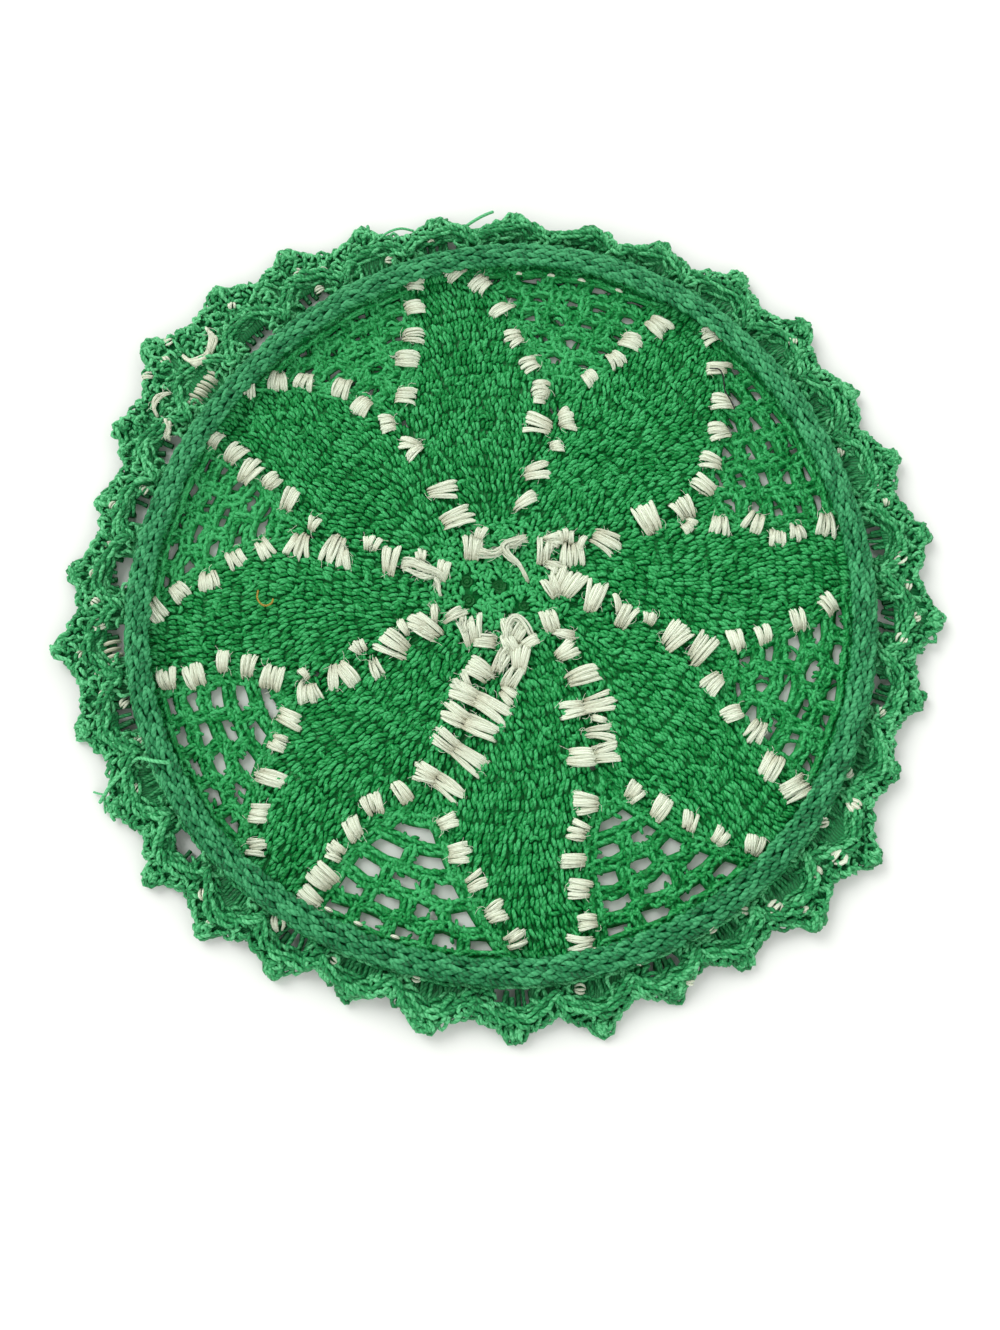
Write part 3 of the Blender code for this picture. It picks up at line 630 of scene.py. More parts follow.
def add_rope(strands, radius, degrees, lift=0.0, full=1.0, tone=0.0):
    """A chain of the net with loose loops along it, over a wide underside painted darker as shade."""
    route = pattern_paths(radius, degrees, net_top(radius, degrees) - NET_ROPE_DEPTH + lift)
    add_chain(strands, route, half_width=NET_ROPE_HALF * full, link=NET_LINK, thread=NET_THREAD, rough=1.8,
              core=0.0, tone=tone)
    under = np.concatenate((route[::max(1, len(route) // 9)], route[-1:])) - UP * NET_SKIRT_DEPTH
    strands.add(under, NET_SKIRT * full, NET_SKIRT_PAINTED_SHADE + tone, flat=NET_SKIRT_FLAT)
    length = np.linalg.norm(np.diff(route, axis=0), axis=1).sum()
    spots = chance.random(round(length / NET_LOOP_PITCH))
    share = np.linspace(0.0, 1.0, len(radius))
    r = np.interp(spots, share, np.broadcast_to(radius, share.shape))
    r = r + stray(NET_LOOP_STRAY * full, len(spots))
    d = np.interp(spots, share, np.broadcast_to(degrees, share.shape))
    d = d + np.degrees(stray(NET_LOOP_STRAY * full, len(spots)) / r)
    add_loops(strands, r, d, net_top, NET_LOOP, THREAD, 180.0 * chance.random(len(spots)), lift=-0.15 * MM,
              tone=tone)


def add_arcs(strands, number, ropes, **looks):
    """The net's ropes around the doily, each bowed over the gaps inside it."""
    for k, rope in enumerate(ropes):
        degrees = np.linspace(*sector_edges(SECTORS[number], rope, ROPE_MARGIN), 60)
        radius = rope + wander(ARC_WANDER, degrees, waves=31, phase=k * 2.3 + number)
        if 0 < k < len(ropes) - 1:
            middles, pitch = net_gaps(SECTORS[number], NET_ROW_RADII[k - 1])
            phase = np.radians(degrees - middles[0]) * NET_ROW_RADII[k - 1] / pitch
            radius = radius + ARCH * np.cos(2.0 * math.pi * phase)
        add_rope(strands, radius, degrees, **looks)


def add_posts(strands, number, row, near, far, **looks):
    """A row's dark strands deep in its gaps, painted shade, and the posts between them; returns the gaps'
    corners.
    """
    middles, pitch = net_gaps(SECTORS[number], row)
    spots = np.repeat(middles, DEEP_SHADE_STRANDS[number])
    spots = spots + stray(math.degrees(1.7 * MM / row), len(spots))
    add_loops(strands, row + stray(0.9 * MM, len(spots)), spots, net_top, DEEP_LENGTH, DEEP_THREAD,
              180.0 * chance.random(len(spots)), lift=-DEEP_BELOW, arch=0.1 * MM, tone=DEEP_PAINTED_SHADE)
    along = np.linspace(0.0, 1.0, 8)
    aside = math.degrees(CORNER / row)
    corners = []
    for post in middles[:-1] + math.degrees(pitch / 2.0 / row):
        slant = stray(math.degrees(POST_SLANT / row))
        add_rope(strands, near + (far - near) * along, post + slant * (along - 0.5), lift=0.15 * MM, **looks)
        for radius, way in ((near + CORNER / 2.0, -1.0), (far - CORNER / 2.0, 1.0)):
            degrees = post + way * slant / 2.0
            corners += [(radius, degrees - aside), (radius, degrees + aside)]
    return corners


def add_edge_chains(strands, sector, tone):
    for side in (CLOCKWISE, COUNTER):
        for offset, start in EDGE_CHAINS:
            radius = np.linspace(start, NET_ROPE_LAST, 50)
            degrees = edge_angle(sector, side, radius) - side * np.degrees(offset / radius)
            add_rope(strands, radius, degrees, tone=tone)


def add_apex_fill(strands, sector):
    """Dense stitches where the sector is too narrow for gaps."""
    for radius in np.arange(SPLIT_RADIUS + 1.0 * MM, NET_FILL_TO, STITCH_HEIGHT):
        start, end = (float(degrees) for degrees in sector_edges(sector, radius, FILL_MARGIN))
        if math.radians(end - start) * radius > FILL_ROOM:
            degrees, width = even_angles(start, end, radius, STITCH_WIDTH)
            add_stitches(strands, radius, degrees, net_top, width, lean=stray(0.3, len(degrees)))


def add_net_sector(strands, number):
    looks = {"full": NET_FULLNESS[number], "tone": NET_TONE[number]}
    ropes = [row - NET_ROW_STEP / 2.0 for row in NET_ROW_RADII] + [NET_ROPE_LAST]
    add_arcs(strands, number, ropes, **looks)
    corners = []
    for row, near, far in zip(NET_ROW_RADII, ropes, ropes[1:]):
        corners += add_posts(strands, number, row, near + POST_MARGIN, far - POST_MARGIN, **looks)
    add_edge_chains(strands, SECTORS[number], NET_TONE[number])
    add_apex_fill(strands, SECTORS[number])
    radius, degrees = (np.array(corners) + stray(1.0, len(corners), 2) * CORNER_STRAY).T
    turn = chance.choice((-45.0, 45.0), len(corners)) + stray(20.0, len(corners))
    add_loops(strands, radius, degrees, net_top, CORNER_LOOP, NET_THREAD, turn, lift=-0.1 * MM,
              tone=NET_TONE[number])


def net_ropes(numbers):
    strands = Strands()
    for number in numbers:
        add_net_sector(strands, number)
    return strands


# ---------------------------------------------------------------- ground cloth under the stitches, painted dark as shade
GROUND_DEPTH = 1.15 * MM           # the ground lies this far under the stitches' face
GROUND_THICKNESS = 0.5 * MM
# The ground cloth is painted dark: painted shade between and under the stitches.
GROUND_PAINTED_SHADE = 0.12
GROUND_ROWS = tuple(radius * MM for radius in (
    1.9, 5, 9, 14, 19, 23, 27, 32, 36, 41, 45, 50, 54, 57, 60, 63.5, 67, 71, 75, 79, 83, 87, 91, 94.5,
    97.2, 99.4, 101, 102.4))
GROUND_RING_FROM = 97.2 * MM


def cloth_rows(radii, edges, columns, top):
    """Rows of places on a stretch of ground cloth between two edges."""
    rows = []
    for radius in radii:
        degrees = np.linspace(*edges(radius), columns + 1)
        rows.append(pattern_paths(radius, degrees, top(radius, degrees) - GROUND_DEPTH))
    return rows


def add_sheet(work, rows, closed=False, is_gap=lambda row, column: False):
    """Joins rows of places by quads; closed joins the last to the first both ways."""
    grid = [[work.verts.new(place) for place in row.tolist()] for row in rows]
    if closed:
        grid = [row + row[:1] for row in grid + grid[:1]]
    for k, (here, ahead) in enumerate(zip(grid, grid[1:])):
        for i in range(len(here) - 1):
            if not is_gap(k, i):
                work.faces.new((here[i], ahead[i], ahead[i + 1], here[i + 1]))


def finished_cloth(work, name, tone):
    data = bpy.data.meshes.new(name)
    work.to_mesh(data)
    work.free()
    data.uv_layers.new(name="thread")
    return with_tones(data, tone)


def solid_cloth(work, name):
    """Closes an open sheet of cloth to its thickness; returns the mesh and the sheet's flat area."""
    for vertex in [vertex for vertex in work.verts if not vertex.link_faces]:
        work.verts.remove(vertex)
    bmesh.ops.remove_doubles(work, verts=work.verts[:], dist=0.02 * MM)
    for face in work.faces:
        face.normal_update()
        if face.normal.z < 0.0:
            face.normal_flip()
    area = sum(face.calc_area() for face in work.faces)
    down = Vector((0.0, 0.0, -GROUND_THICKNESS))
    under = {vertex: work.verts.new(vertex.co + down) for vertex in work.verts[:]}
    rims = [edge.link_loops[0] for edge in work.edges if edge.is_boundary]
    rims = [(loop.vert, loop.link_loop_next.vert) for loop in rims]
    for face in work.faces[:]:
        work.faces.new([under[vertex] for vertex in reversed(face.verts)])
    for a, b in rims:
        work.faces.new((b, a, under[a], under[b]))
    return finished_cloth(work, name, GROUND_PAINTED_SHADE), area


def medallion_ground():
    work = bmesh.new()
    rim_rows = [radius for radius in GROUND_ROWS if radius >= GROUND_RING_FROM]
    apex_rows = [radius for radius in GROUND_ROWS if SPLIT_RADIUS <= radius <= NET_FILL_TO]
    for number, sector in enumerate(SECTORS):
        add_sheet(work, cloth_rows(GROUND_ROWS, lambda r: petal_edges(number, r), 12,
                                   lambda r, d: petal_top(number, r, d)))
        for rows, columns in ((rim_rows, 12), (apex_rows, 3)):
            add_sheet(work, cloth_rows(rows, lambda r: sector_edges(sector, r), columns, net_top))
    return solid_cloth(work, "medallion_ground")


# ---------------------------------------------------------------- cord ring
RING_COLUMN_AT = (-4.9 * MM, -1.65 * MM, 1.65 * MM, 4.9 * MM)   # along the section, from its top
RING_COLUMN_HALF = 1.32 * MM
RING_PITCH = 3.5 * MM
RING_THREAD = 1.48 * MM
RING_LEG = np.array(((-0.16, 0.02, -1.1), (0.10, 0.20, -0.05), (0.46, 0.58, 0.50), (0.84, 0.92, 0.35),
                     (1.12, 1.12, -0.30), (1.34, 1.12, -1.2)))
RING_LEG_THICKNESS = np.array((0.60, 0.95, 1.08, 1.02, 0.92, 0.60))
RING_LEG_DEPTH = RING_THREAD * 0.62
RING_LEG_RISE = 0.8 * MM
RING_DRIFT = 0.42 * MM             # the columns wander to and fro by this much
RING_TONE = 0.08
RING_FAR_PAINTED_LIGHT = 0.12               # painted light and shade: the ring is this much lighter at its far side, darker at its near side
RING_CORE_SIDES, RING_CORE_STEPS = 14, 120
RING_CORE_INSET = 1.1 * MM
RING_CORE_HALF_HEIGHT = RING_HALF_HEIGHT - 1.15 * MM
RING_CORE_DROP = 0.25 * MM
RING_CORE_TONE = 0.2


def ring_centre_height(degrees):
    return net_top(RING_RADIUS, degrees) + CLEARANCE + RING_HALF_HEIGHT


def section_angle(distance):
    """The section's angle at a distance along its outline from its top, outwards positive."""
    turn = np.radians(np.linspace(-60.0, 240.0, 601))
    speed = np.hypot(RING_HALF_WIDTH * np.sin(turn), RING_HALF_HEIGHT * np.cos(turn))
    length = np.concatenate(((0.0,), np.cumsum((speed[1:] + speed[:-1]) / 2.0 * np.diff(turn))))
    length -= np.interp(math.pi / 2.0, turn, length)
    return np.interp(-distance, length, turn)


def ring_place(degrees, distance, inset):
    turn = section_angle(distance)
    centre = ring_radius(degrees)
    radius = centre + (RING_HALF_WIDTH - inset) * np.cos(turn)
    return to_paths(radius, degrees, ring_centre_height(degrees) + (RING_HALF_HEIGHT - inset) * np.sin(turn))


def ring_stitches():
    strands = Strands()
    count = round(2.0 * math.pi * RING_RADIUS / RING_PITCH)
    for column, at in enumerate(RING_COLUMN_AT):
        first = (np.arange(count) + 0.5 * (column % 2)) * 360.0 / count
        for side in (-1.0, 1.0):
            degrees = first[:, None] + np.degrees(RING_LEG[:, 0] * RING_PITCH / RING_RADIUS)
            degrees = degrees + stray(np.degrees(0.32 * MM / RING_RADIUS), count, 1)
            distance = at + side * RING_LEG[:, 1] * RING_COLUMN_HALF + stray(0.24 * MM, count, 1)
            distance = distance + wander(RING_DRIFT, degrees, waves=7, phase=column * 0.5)
            inset = RING_LEG_DEPTH - RING_LEG[:, 2] * RING_LEG_RISE + stray(0.14 * MM, count, 1)
            # Painted light and shade: lighter at the ring's far side, darker at its near side.
            tones = random_tones(count, 0.9) + RING_TONE + RING_FAR_PAINTED_LIGHT * np.sin(np.radians(first))[:, None]
            strands.add(ring_place(degrees, distance, inset), RING_LEG_THICKNESS * RING_THREAD, tones)
    return strands


def ring_core():
    """A plain tube inside the ring's stitches."""
    work = bmesh.new()
    turn = np.linspace(0.0, 2.0 * math.pi, RING_CORE_SIDES, endpoint=False)
    rows = []
    for degrees in np.linspace(0.0, 360.0, RING_CORE_STEPS, endpoint=False):
        radius = ring_radius(degrees) + (RING_HALF_WIDTH - RING_CORE_INSET) * np.cos(turn)
        height = ring_centre_height(degrees) - RING_CORE_DROP + RING_CORE_HALF_HEIGHT * np.sin(turn)
        rows.append(to_paths(radius, degrees, height))
    add_sheet(work, rows, closed=True)
    bmesh.ops.recalc_face_normals(work, faces=work.faces[:])
    return finished_cloth(work, "ring_core", RING_CORE_TONE)


# ---------------------------------------------------------------- edging
GAP_INNER_PAST = CLEARANCE + 1.7 * MM
GAP_DEPTH = 4.1 * MM
GAP_SHARE = 0.46
PILLAR_FROM = 0.50                 # the loops of the pillars between the openings start here
PILLAR_MARGIN = 0.8 * MM
OPEN_PAST = 1.3 * MM               # a free opening reaches this much further out
POCKET_DEPTH = 1.0 * MM            # the ground lies this much deeper in a shaded opening
GAP_ROWS = (1, 2)                  # rows of the ground that an opening lies in
EDGING_COLUMNS = (0.0, 0.14, 0.32, GAP_SHARE, 0.62, 0.8, 1.0)    # and its columns, from tip to notch
EDGING_GROUND_INSET = 0.9 * MM     # the ground ends this far inside the outline
BRAID_PAST_GAP = 0.33              # the braid lies this far from the gap to the tip
BRAID_VALLEY_PAST = 4.0 * MM       # its valleys lie this far outside the rim
BRAID_POWER = 2.2
PICOT_PITCH = 2.5 * MM
PICOT_HEIGHT = 1.25 * MM
# Their two layers: shift in half pitches, how far inside the outline, and how deep.
PICOT_LAYERS = ((0.0, 0.95 * MM, 1.25 * MM), (0.8, 1.75 * MM, 0.35 * MM))
EDGING_MIDDLE = 112.0 * MM         # radius at which a scallop's width is measured
EDGING_THREAD = 1.15 * MM
EDGING_LOOP = 2.9 * MM
LOOP_PITCH = 1.70 * MM
LOOP_MARGIN = 0.9 * MM             # the loops keep this far from braid and outline
LOOP_TURN = 45.0                   # they lie slanted, the other way in every other row
FILLING_FROM, FILLING_REACH = 1.6 * MM, 30.0 * MM        # rows of loops, outward from the rim
RIM_CORD_PAST = CLEARANCE + 0.85 * MM
RIM_CORD_HALF = 0.55 * MM
RIM_CORD_THREAD = 1.05 * MM
INNER_BRAID_SHARE = 0.62           # half of the scallop that a second, inner braid spans
INNER_BRAID_PAST = 1.9 * MM        # it lies this far inside the first
BRAID_LOOKS = {"rough": 2.6, "core": 1.6, "tone": -0.12}
# The ladder that fills an opening, in two layers: the share of a free opening that it leaves
# free, height over the rim's lift, thickness and tone, whose dark values are painted shade.
LADDER_LAYERS = ((0.72, -0.35 * MM, 1.60 * MM, -0.95), (1.00, 0.20 * MM, 1.15 * MM, -0.40))
LADDER_FROM = CLEARANCE + 0.9 * MM
LADDER_RISE = 0.75 * MM
LADDER_PAINTED_SHADE = 0.30                # painted shade: the posts are this much darker at the rim
POST_COUNT = 6                     # posts in the lower layer
POST_REACH = 0.50                  # share of the half scallop that the ladder spans
POST_PAST, POST_SHORT = 0.2 * MM, 0.3 * MM               # past the opening, and short of the braid
POST_GATHER, POST_FAN = 0.88, 0.20                       # the posts fan out, from the rim to the braid
PILLAR_TONE = 0.16                 # the pillars are this much lighter than the rest
EDGING_FAR_PAINTED_LIGHT = 0.14             # painted light and shade: the edging is this much lighter at its far side, darker at its near side
KNOB_LOOPS = 10                    # loops bunched at a scallop's tip
KNOB_HALF = 1.7 * MM
KNOB_THREAD = EDGING_THREAD * 1.05
# How much of each scallop's opening is left free by its ladder, from none (0) to all (1).
OPENNESS = (0.5, 0.0, 0.0, 0.0, 0.0, 0.0, 0.0, 0.0, 0.3, 0.0, 0.8, 0.9, 0.0, 1.0, 0.9, 0.9, 0.8, 0.5,
            0.0, 0.9, 0.0, 0.3, 0.0, 0.0, 0.3, 0.0, 0.2, 0.0, 0.0, 0.0, 0.0, 0.6, 0.7)


class Scallop:
    """One scallop in its own coordinates: share -1..1 from notch to notch, and radius."""

    def __init__(self, number, tip_lift, notch_lifts):
        near = [SCALLOPS[(number + step) % len(SCALLOPS)] for step in (-1, 0, 1)]
        (before, reach_before), (self.angle, reach), (after, reach_after) = near
        self.reach = reach * MM
        self.half_back = (self.angle - before) % 360.0 / 2.0
        self.half_ahead = (after - self.angle) % 360.0 / 2.0
        self.notch_back = (reach + reach_before) / 2.0 * MM - VALLEY_DEPTH
        self.notch_ahead = (reach + reach_after) / 2.0 * MM - VALLEY_DEPTH
        self.tip_lift, self.notch_lifts = tip_lift, notch_lifts
        self.openness = OPENNESS[number]
        # What share of the half scallop a length is.
        self.share_of = 2.0 / (math.radians(self.half_back + self.half_ahead) * EDGING_MIDDLE)
        # Painted light and shade: the scallop is lighter at the doily's far side, darker at its near side.
        angle = math.radians(self.angle)
        self.far_painted_light = EDGING_FAR_PAINTED_LIGHT * (math.sin(angle) - 0.5 * math.cos(angle))

    def degrees(self, share):
        return self.angle + np.where(share > 0.0, share * self.half_ahead, share * self.half_back)

    def rim(self, share):
        return rim_radius(self.degrees(share))

    def outline(self, share):
        shares, depths = zip(*SCALLOP_OUTLINE)
        depth = np.interp(np.abs(share), shares, depths)
        notch = np.where(share > 0.0, self.notch_ahead, self.notch_back)
        return self.reach - depth * (self.reach - notch)

    def gap_outer(self, share):
        return self.rim(share) + GAP_INNER_PAST + GAP_DEPTH

    def opening(self, share):
        return self.gap_outer(share) + OPEN_PAST * self.openness

    def braid(self, share):
        middle = self.gap_outer(0.0)
        crest = (self.reach - middle) * BRAID_PAST_GAP + self.gap_outer(share)
        valley = self.rim(share) + BRAID_VALLEY_PAST
        return valley + (crest - valley) * (1.0 - np.abs(share) ** BRAID_POWER)

    def top(self, share, radius):
        """Height of the edging's upper face."""
        past = radius - self.rim(share)
        height = RIM_LIFT - EDGING_DROP * smooth(past, *EDGING_DROPS) + EDGING_THICKNESS
        braid = self.braid(share)
        inside = np.exp(-((radius - braid) / CREST_HALF) ** 2)
        outward = smooth(radius, braid, self.outline(share))
        notch = np.where(share > 0.0, self.notch_lifts[1], self.notch_lifts[0])
        edge = self.tip_lift + (notch - self.tip_lift) * smooth(np.abs(share), 0.1, 1.0)
        return height + EDGING_CREST * inside + edge * outward

    def paths(self, share, radius, height=None, sink=0.0):
        share, radius = np.broadcast_arrays(share, radius)
        level = self.top(share, radius) - sink if height is None else height
        return to_paths(radius, self.degrees(share), level)


def make_scallops():
    ruffle = random.Random(33)
    lifts = [(ruffle.uniform(*TIP_LIFT), ruffle.uniform(*NOTCH_LIFT)) for _ in SCALLOPS]
    return [Scallop(i, tip, (lifts[i - 1][1], notch)) for i, (tip, notch) in enumerate(lifts)]


def add_ladder(strands, scallop):
    """Posts across an opening, painted dark as in the shade of the braid, over darker ones lying deeper."""
    is_open = scallop.openness > 0.0
    along = np.linspace(0.0, 1.0, 5)
    for layer, (reach, height, thick, tone) in enumerate(LADDER_LAYERS):
        count = POST_COUNT + layer - 2 * is_open
        share = np.linspace(-POST_REACH, POST_REACH, count) + stray(0.04, count)
        start, inner = scallop.rim(share) + LADDER_FROM, scallop.opening(share) - POST_PAST
        free = np.clip(scallop.openness * reach + stray(0.12 * is_open, count), 0.0, 1.0)
        near = (start + free * (inner - start))[:, None]
        far = scallop.braid(share)[:, None] - POST_SHORT
        bow = stray(0.05, count, 1) * np.sin(math.pi * along)
        spread = share[:, None] * (POST_GATHER + POST_FAN * along) + bow
        level = RIM_LIFT + height + LADDER_RISE * along ** 2
        thick = thick * (1.0 + stray(0.15, count, 1))
        tones = random_tones(count, 0.6) + tone + LADDER_PAINTED_SHADE * along
        strands.add(scallop.paths(spread, near + (far - near) * along, height=level), thick, tones)


def add_braids(strands, scallop):
    """The braid that scallops around the opening and its ladder, and another one inside it."""
    share = np.linspace(-1.0, 1.0, 41)
    sway = 0.5 * MM * np.sin(share * 5.0 + 6.0 * chance.random()) + stray(0.18 * MM, len(share))
    outer = scallop.paths(share, scallop.braid(share) + sway, sink=0.20 * MM)
    add_chain(strands, outer, 0.95 * MM, 2.6 * MM, 1.25 * MM, tone_spread=0.9, **BRAID_LOOKS)
    share = np.linspace(-INNER_BRAID_SHARE, INNER_BRAID_SHARE, 21)
    radius = scallop.braid(share) + sway[::2] - INNER_BRAID_PAST
    inner = scallop.paths(share, np.maximum(radius, scallop.opening(share) - 0.8 * MM), sink=1.0 * MM)
    add_chain(strands, inner, 0.8 * MM, 2.5 * MM, 1.15 * MM, **BRAID_LOOKS)


def add_scallop_loops(strands, scallop, share, radius, turn, thread=EDGING_THREAD, **looks):
    add_loops(strands, radius, scallop.degrees(share), lambda r, d: scallop.top(share[:, None], r),
              EDGING_LOOP, thread, turn, as_paths=to_paths, **looks)


def add_filling(strands, scallop):
    """Loose loops in all the rest: from the braid to the outline, and between the openings."""
    rows = np.arange(0.0, FILLING_REACH, LOOP_PITCH)
    pitch = LOOP_PITCH * scallop.share_of
    share, past = np.meshgrid(np.arange(-1.0, 1.0, pitch), rows)
    share = (share + 0.5 * pitch * (np.arange(len(rows)) % 2)[:, None]).ravel()
    past = past.ravel()
    share = np.clip(share + stray(0.25 * pitch, len(share)), -1.0, 1.0)
    radius = scallop.rim(share) + FILLING_FROM + past + stray(0.35 * MM, len(share))
    lean = np.where(np.round(past / LOOP_PITCH) % 2 == 0, LOOP_TURN, -LOOP_TURN)
    braid = scallop.braid(share)
    outside = (radius > braid + LOOP_MARGIN) & (radius < scallop.outline(share) - LOOP_MARGIN)
    pillar = (radius < braid - PILLAR_MARGIN) & (np.abs(share) > PILLAR_FROM)
    for keep, tone in ((outside, 0.0), (pillar, PILLAR_TONE)):
        count = keep.sum()
        turn = lean[keep] + stray(38.0, count)
        add_scallop_loops(strands, scallop, share[keep], radius[keep], turn, lift=stray(0.25 * MM, count, 1),
                          rough=1.4, tone=scallop.far_painted_light + tone)


def add_knob(strands, scallop):
    """Loops bunched at the scallop's tip."""
    share = KNOB_HALF * scallop.share_of * np.clip(stray(0.7, KNOB_LOOPS), -0.9, 0.9)
    radius = scallop.outline(share) - (1.2 + 2.2 * chance.random(KNOB_LOOPS)) * MM
    lift = (0.2 + 0.5 * chance.random((KNOB_LOOPS, 1))) * MM
    add_scallop_loops(strands, scallop, share, radius, 180.0 * chance.random(KNOB_LOOPS),
                      thread=KNOB_THREAD, lift=lift)


def add_picots(strands, scallop):
    """Two layers of small arches along the outline."""
    share = np.arange(-1.0, 1.0, PICOT_PITCH * scallop.share_of)
    count = len(share)
    bend = np.linspace(-1.0, 1.0, 5)
    wide = 0.50 * PICOT_PITCH * scallop.share_of
    for shift, inset, depth in PICOT_LAYERS:
        middle = share + (shift + stray(0.25, count)) * wide
        places = middle[:, None] + bend * wide * (1.0 + stray(0.25, count, 1))
        out = (1.0 - bend ** 2) * (PICOT_HEIGHT + stray(0.35 * MM, count, 1))
        radius = scallop.outline(np.clip(places, -1.0, 1.0)) - inset + out
        sink = depth + stray(0.2 * MM, count, 1)
        tones = random_tones(count) + scallop.far_painted_light
        strands.add(scallop.paths(places, radius, sink=sink), EDGING_THREAD, tones)


def edging_stitches(scallops):
    strands = Strands()
    for scallop in scallops:
        share = np.linspace(-1.0, 1.0, 24)
        rim_cord = scallop.paths(share, scallop.rim(share) + RIM_CORD_PAST, sink=RIM_CORD_HALF)
        add_chain(strands, rim_cord, RIM_CORD_HALF, thread=RIM_CORD_THREAD, rough=1.6)
        for add in (add_ladder, add_braids, add_filling, add_knob, add_picots):
            add(strands, scallop)
    return strands


def edging_ground(scallops):
    work = bmesh.new()
    half = np.array(EDGING_COLUMNS)
    shares = np.concatenate((-half[:0:-1], half))
    in_gap = np.abs(shares) < GAP_SHARE
    face_in_gap = np.abs(shares[1:] + shares[:-1]) / 2.0 < GAP_SHARE
    for scallop in scallops:
        rim = scallop.rim(shares) + CLEARANCE + 0.15 * MM
        gap_from, gap_to = rim + 1.5 * MM, scallop.opening(shares) - 0.05 * MM
        outer = scallop.outline(shares) - EDGING_GROUND_INSET
        radii = [rim, gap_from, (gap_from + gap_to) / 2.0, gap_to]
        radii += [gap_to + (outer - gap_to) * share for share in (0.33, 0.66, 1.0)]
        rows = []
        for k, radius in enumerate(radii):
            sink = GROUND_DEPTH + POCKET_DEPTH * (in_gap & (k in GAP_ROWS))
            rows.append(scallop.paths(shares, radius, sink=sink))
        is_open = scallop.openness > 0.0
        add_sheet(work, rows, is_gap=lambda k, i: is_open and k in GAP_ROWS and face_in_gap[i])
    return solid_cloth(work, "edging_ground")


# ---------------------------------------------------------------- white yarn
def edge_frame(angle_at, radius):
    """Direction of an edge line at a radius, as unit steps (outward, counter-clockwise)."""
    step = 1.0 * MM
    turn = float(angle_at(radius + step) - angle_at(radius - step))
    outward, around = 2.0 * step, math.radians(turn) * radius
    size = math.hypot(outward, around)
    return outward / size, around / size


# A strand of yarn from its near end to its far end: place along it, and thickness in shares.
YARN_STEPS = np.array((-0.5, -0.43, -0.27, 0.0, 0.22, 0.40, 0.5))
YARN_SHAPE = np.array((0.55, 0.92, 1.00, 1.05, 1.05, 0.94, 0.70))
YARN_FLAT = 0.80
FINGER_PITCH = 1.50 * MM           # a tuft parts into fingers of about this width
YARN_PITCH = 0.58 * MM             # and a finger into strands of about this width
YARN_OVERLAP = 1.60                # a strand's width over the room it has
# Painted light and shade of the yarn's strands: darker at their sides than on top.
YARN_PAINTED_SIDE_SHADE = 0.16
YARN_LIFT = 1.30 * MM              # a tuft's top over the cloth's face
YARN_TONE = 0.80
GATHER, FAN = 0.74, 1.30           # a tuft's spread at its near and its far end
ROOT_DEPTH = 0.45 * MM             # its gathered end dives this far into the cloth
ROOT_PAINTED_SHADE = 1.05                  # painted shade: how much darker the gathered end is
TIP_DEPTH = 0.30 * MM              # and its far end dives this far
TUFT_BULGE = 0.35 * MM             # the middle fingers reach this much further
TUFT_CROWN = 0.30 * MM             # and lie this much higher
FINGER_BULGE = 0.13                # a finger's outer strands are this share shorter
FINGER_CROWN = 0.25 * MM           # and lie this much lower
FINGER_POINT = 0.55                # the least width of a finger's far end, in its own width
HAIR = 0.15 * MM                   # thickness of a stray hair of the yarn
HAIRS = 7                          # stray hairs of a tuft
HAIRS_PAST = (1.02, 1.15)          # they start on a patch this much longer and wider than the yarn
HAIR_TONE = 1.15
HAIR_LENGTH = (1.6 * MM, 3.6 * MM)
BUNDLE_RISE = 1.75 * MM            # height of a ribbon of yarn over the cloth's face
BUNDLE_TONE = 0.85
BUNDLE_DEPTH = 0.5 * MM            # its ends dive this far into the cloth
# Painted shade: a ribbon's strands are this much darker at their ends, where they dive into the cloth.
BUNDLE_END_PAINTED_SHADE = 0.45
BUNDLE_STEPS = 16
BUNDLE_TWIST = 0.22                # turns of its strands around each other
BUNDLE_THICKNESS = 1.5             # a strand's width over the room it has
BUNDLE_FINER = 2                   # strands of yarn to each strand that the ribbons' table counts
BOW_FROM = 12.0 * MM               # tufts longer than this are pinched, like a bow
STEM_SPREAD = 0.86                 # the seams' tufts: their strands' thickness makes up the rest of a width
STEM_REACH = 0.96                  # and of a length
BOW_PINCH = 0.42                   # the pinch lies this far along a bow
BOW_ROOT = 0.55 * MM               # height of the yarn at the pinch, over the cloth
BOW_GATHER, BOW_FAN = 0.80, 1.14
BOW_REACH = 1.25                   # its two fans overlap


def face_height(x, y):
    """Height of the cloth's upper face at a place given from the doily's centre."""
    radius, degrees = np.hypot(x, y), np.degrees(np.arctan2(y, x))
    return net_top(undrawn(radius, degrees), degrees)


def add_hairs(hairs, x, y, direction, length, width, count, lift=YARN_LIFT):
    """Fine stray hairs standing out of a patch of yarn, each bent its own way."""
    along = np.linspace(-0.5, 0.5, 4)
    reach = HAIR_LENGTH[0] + (HAIR_LENGTH[1] - HAIR_LENGTH[0]) * chance.random((count, 1))
    bend = stray(0.5 * MM, count, 1) * hump(along)
    ahead, aside = turned(along * reach, bend, stray(0.8, count, 1))
    ahead = ahead + HAIRS_PAST[0] * length * (chance.random((count, 1)) - 0.5)
    aside = aside + HAIRS_PAST[1] * width * (chance.random((count, 1)) - 0.5)
    step_x, step_y = turned(ahead, aside, math.radians(direction))
    rise = (0.40 * chance.random((count, 1)) - 0.45) * MM
    level = face_height(x + step_x, y + step_y) + lift + rise + 0.5 * MM * hump(along)
    hairs.add(centre_paths(x + step_x, y + step_y, level), HAIR, HAIR_TONE)


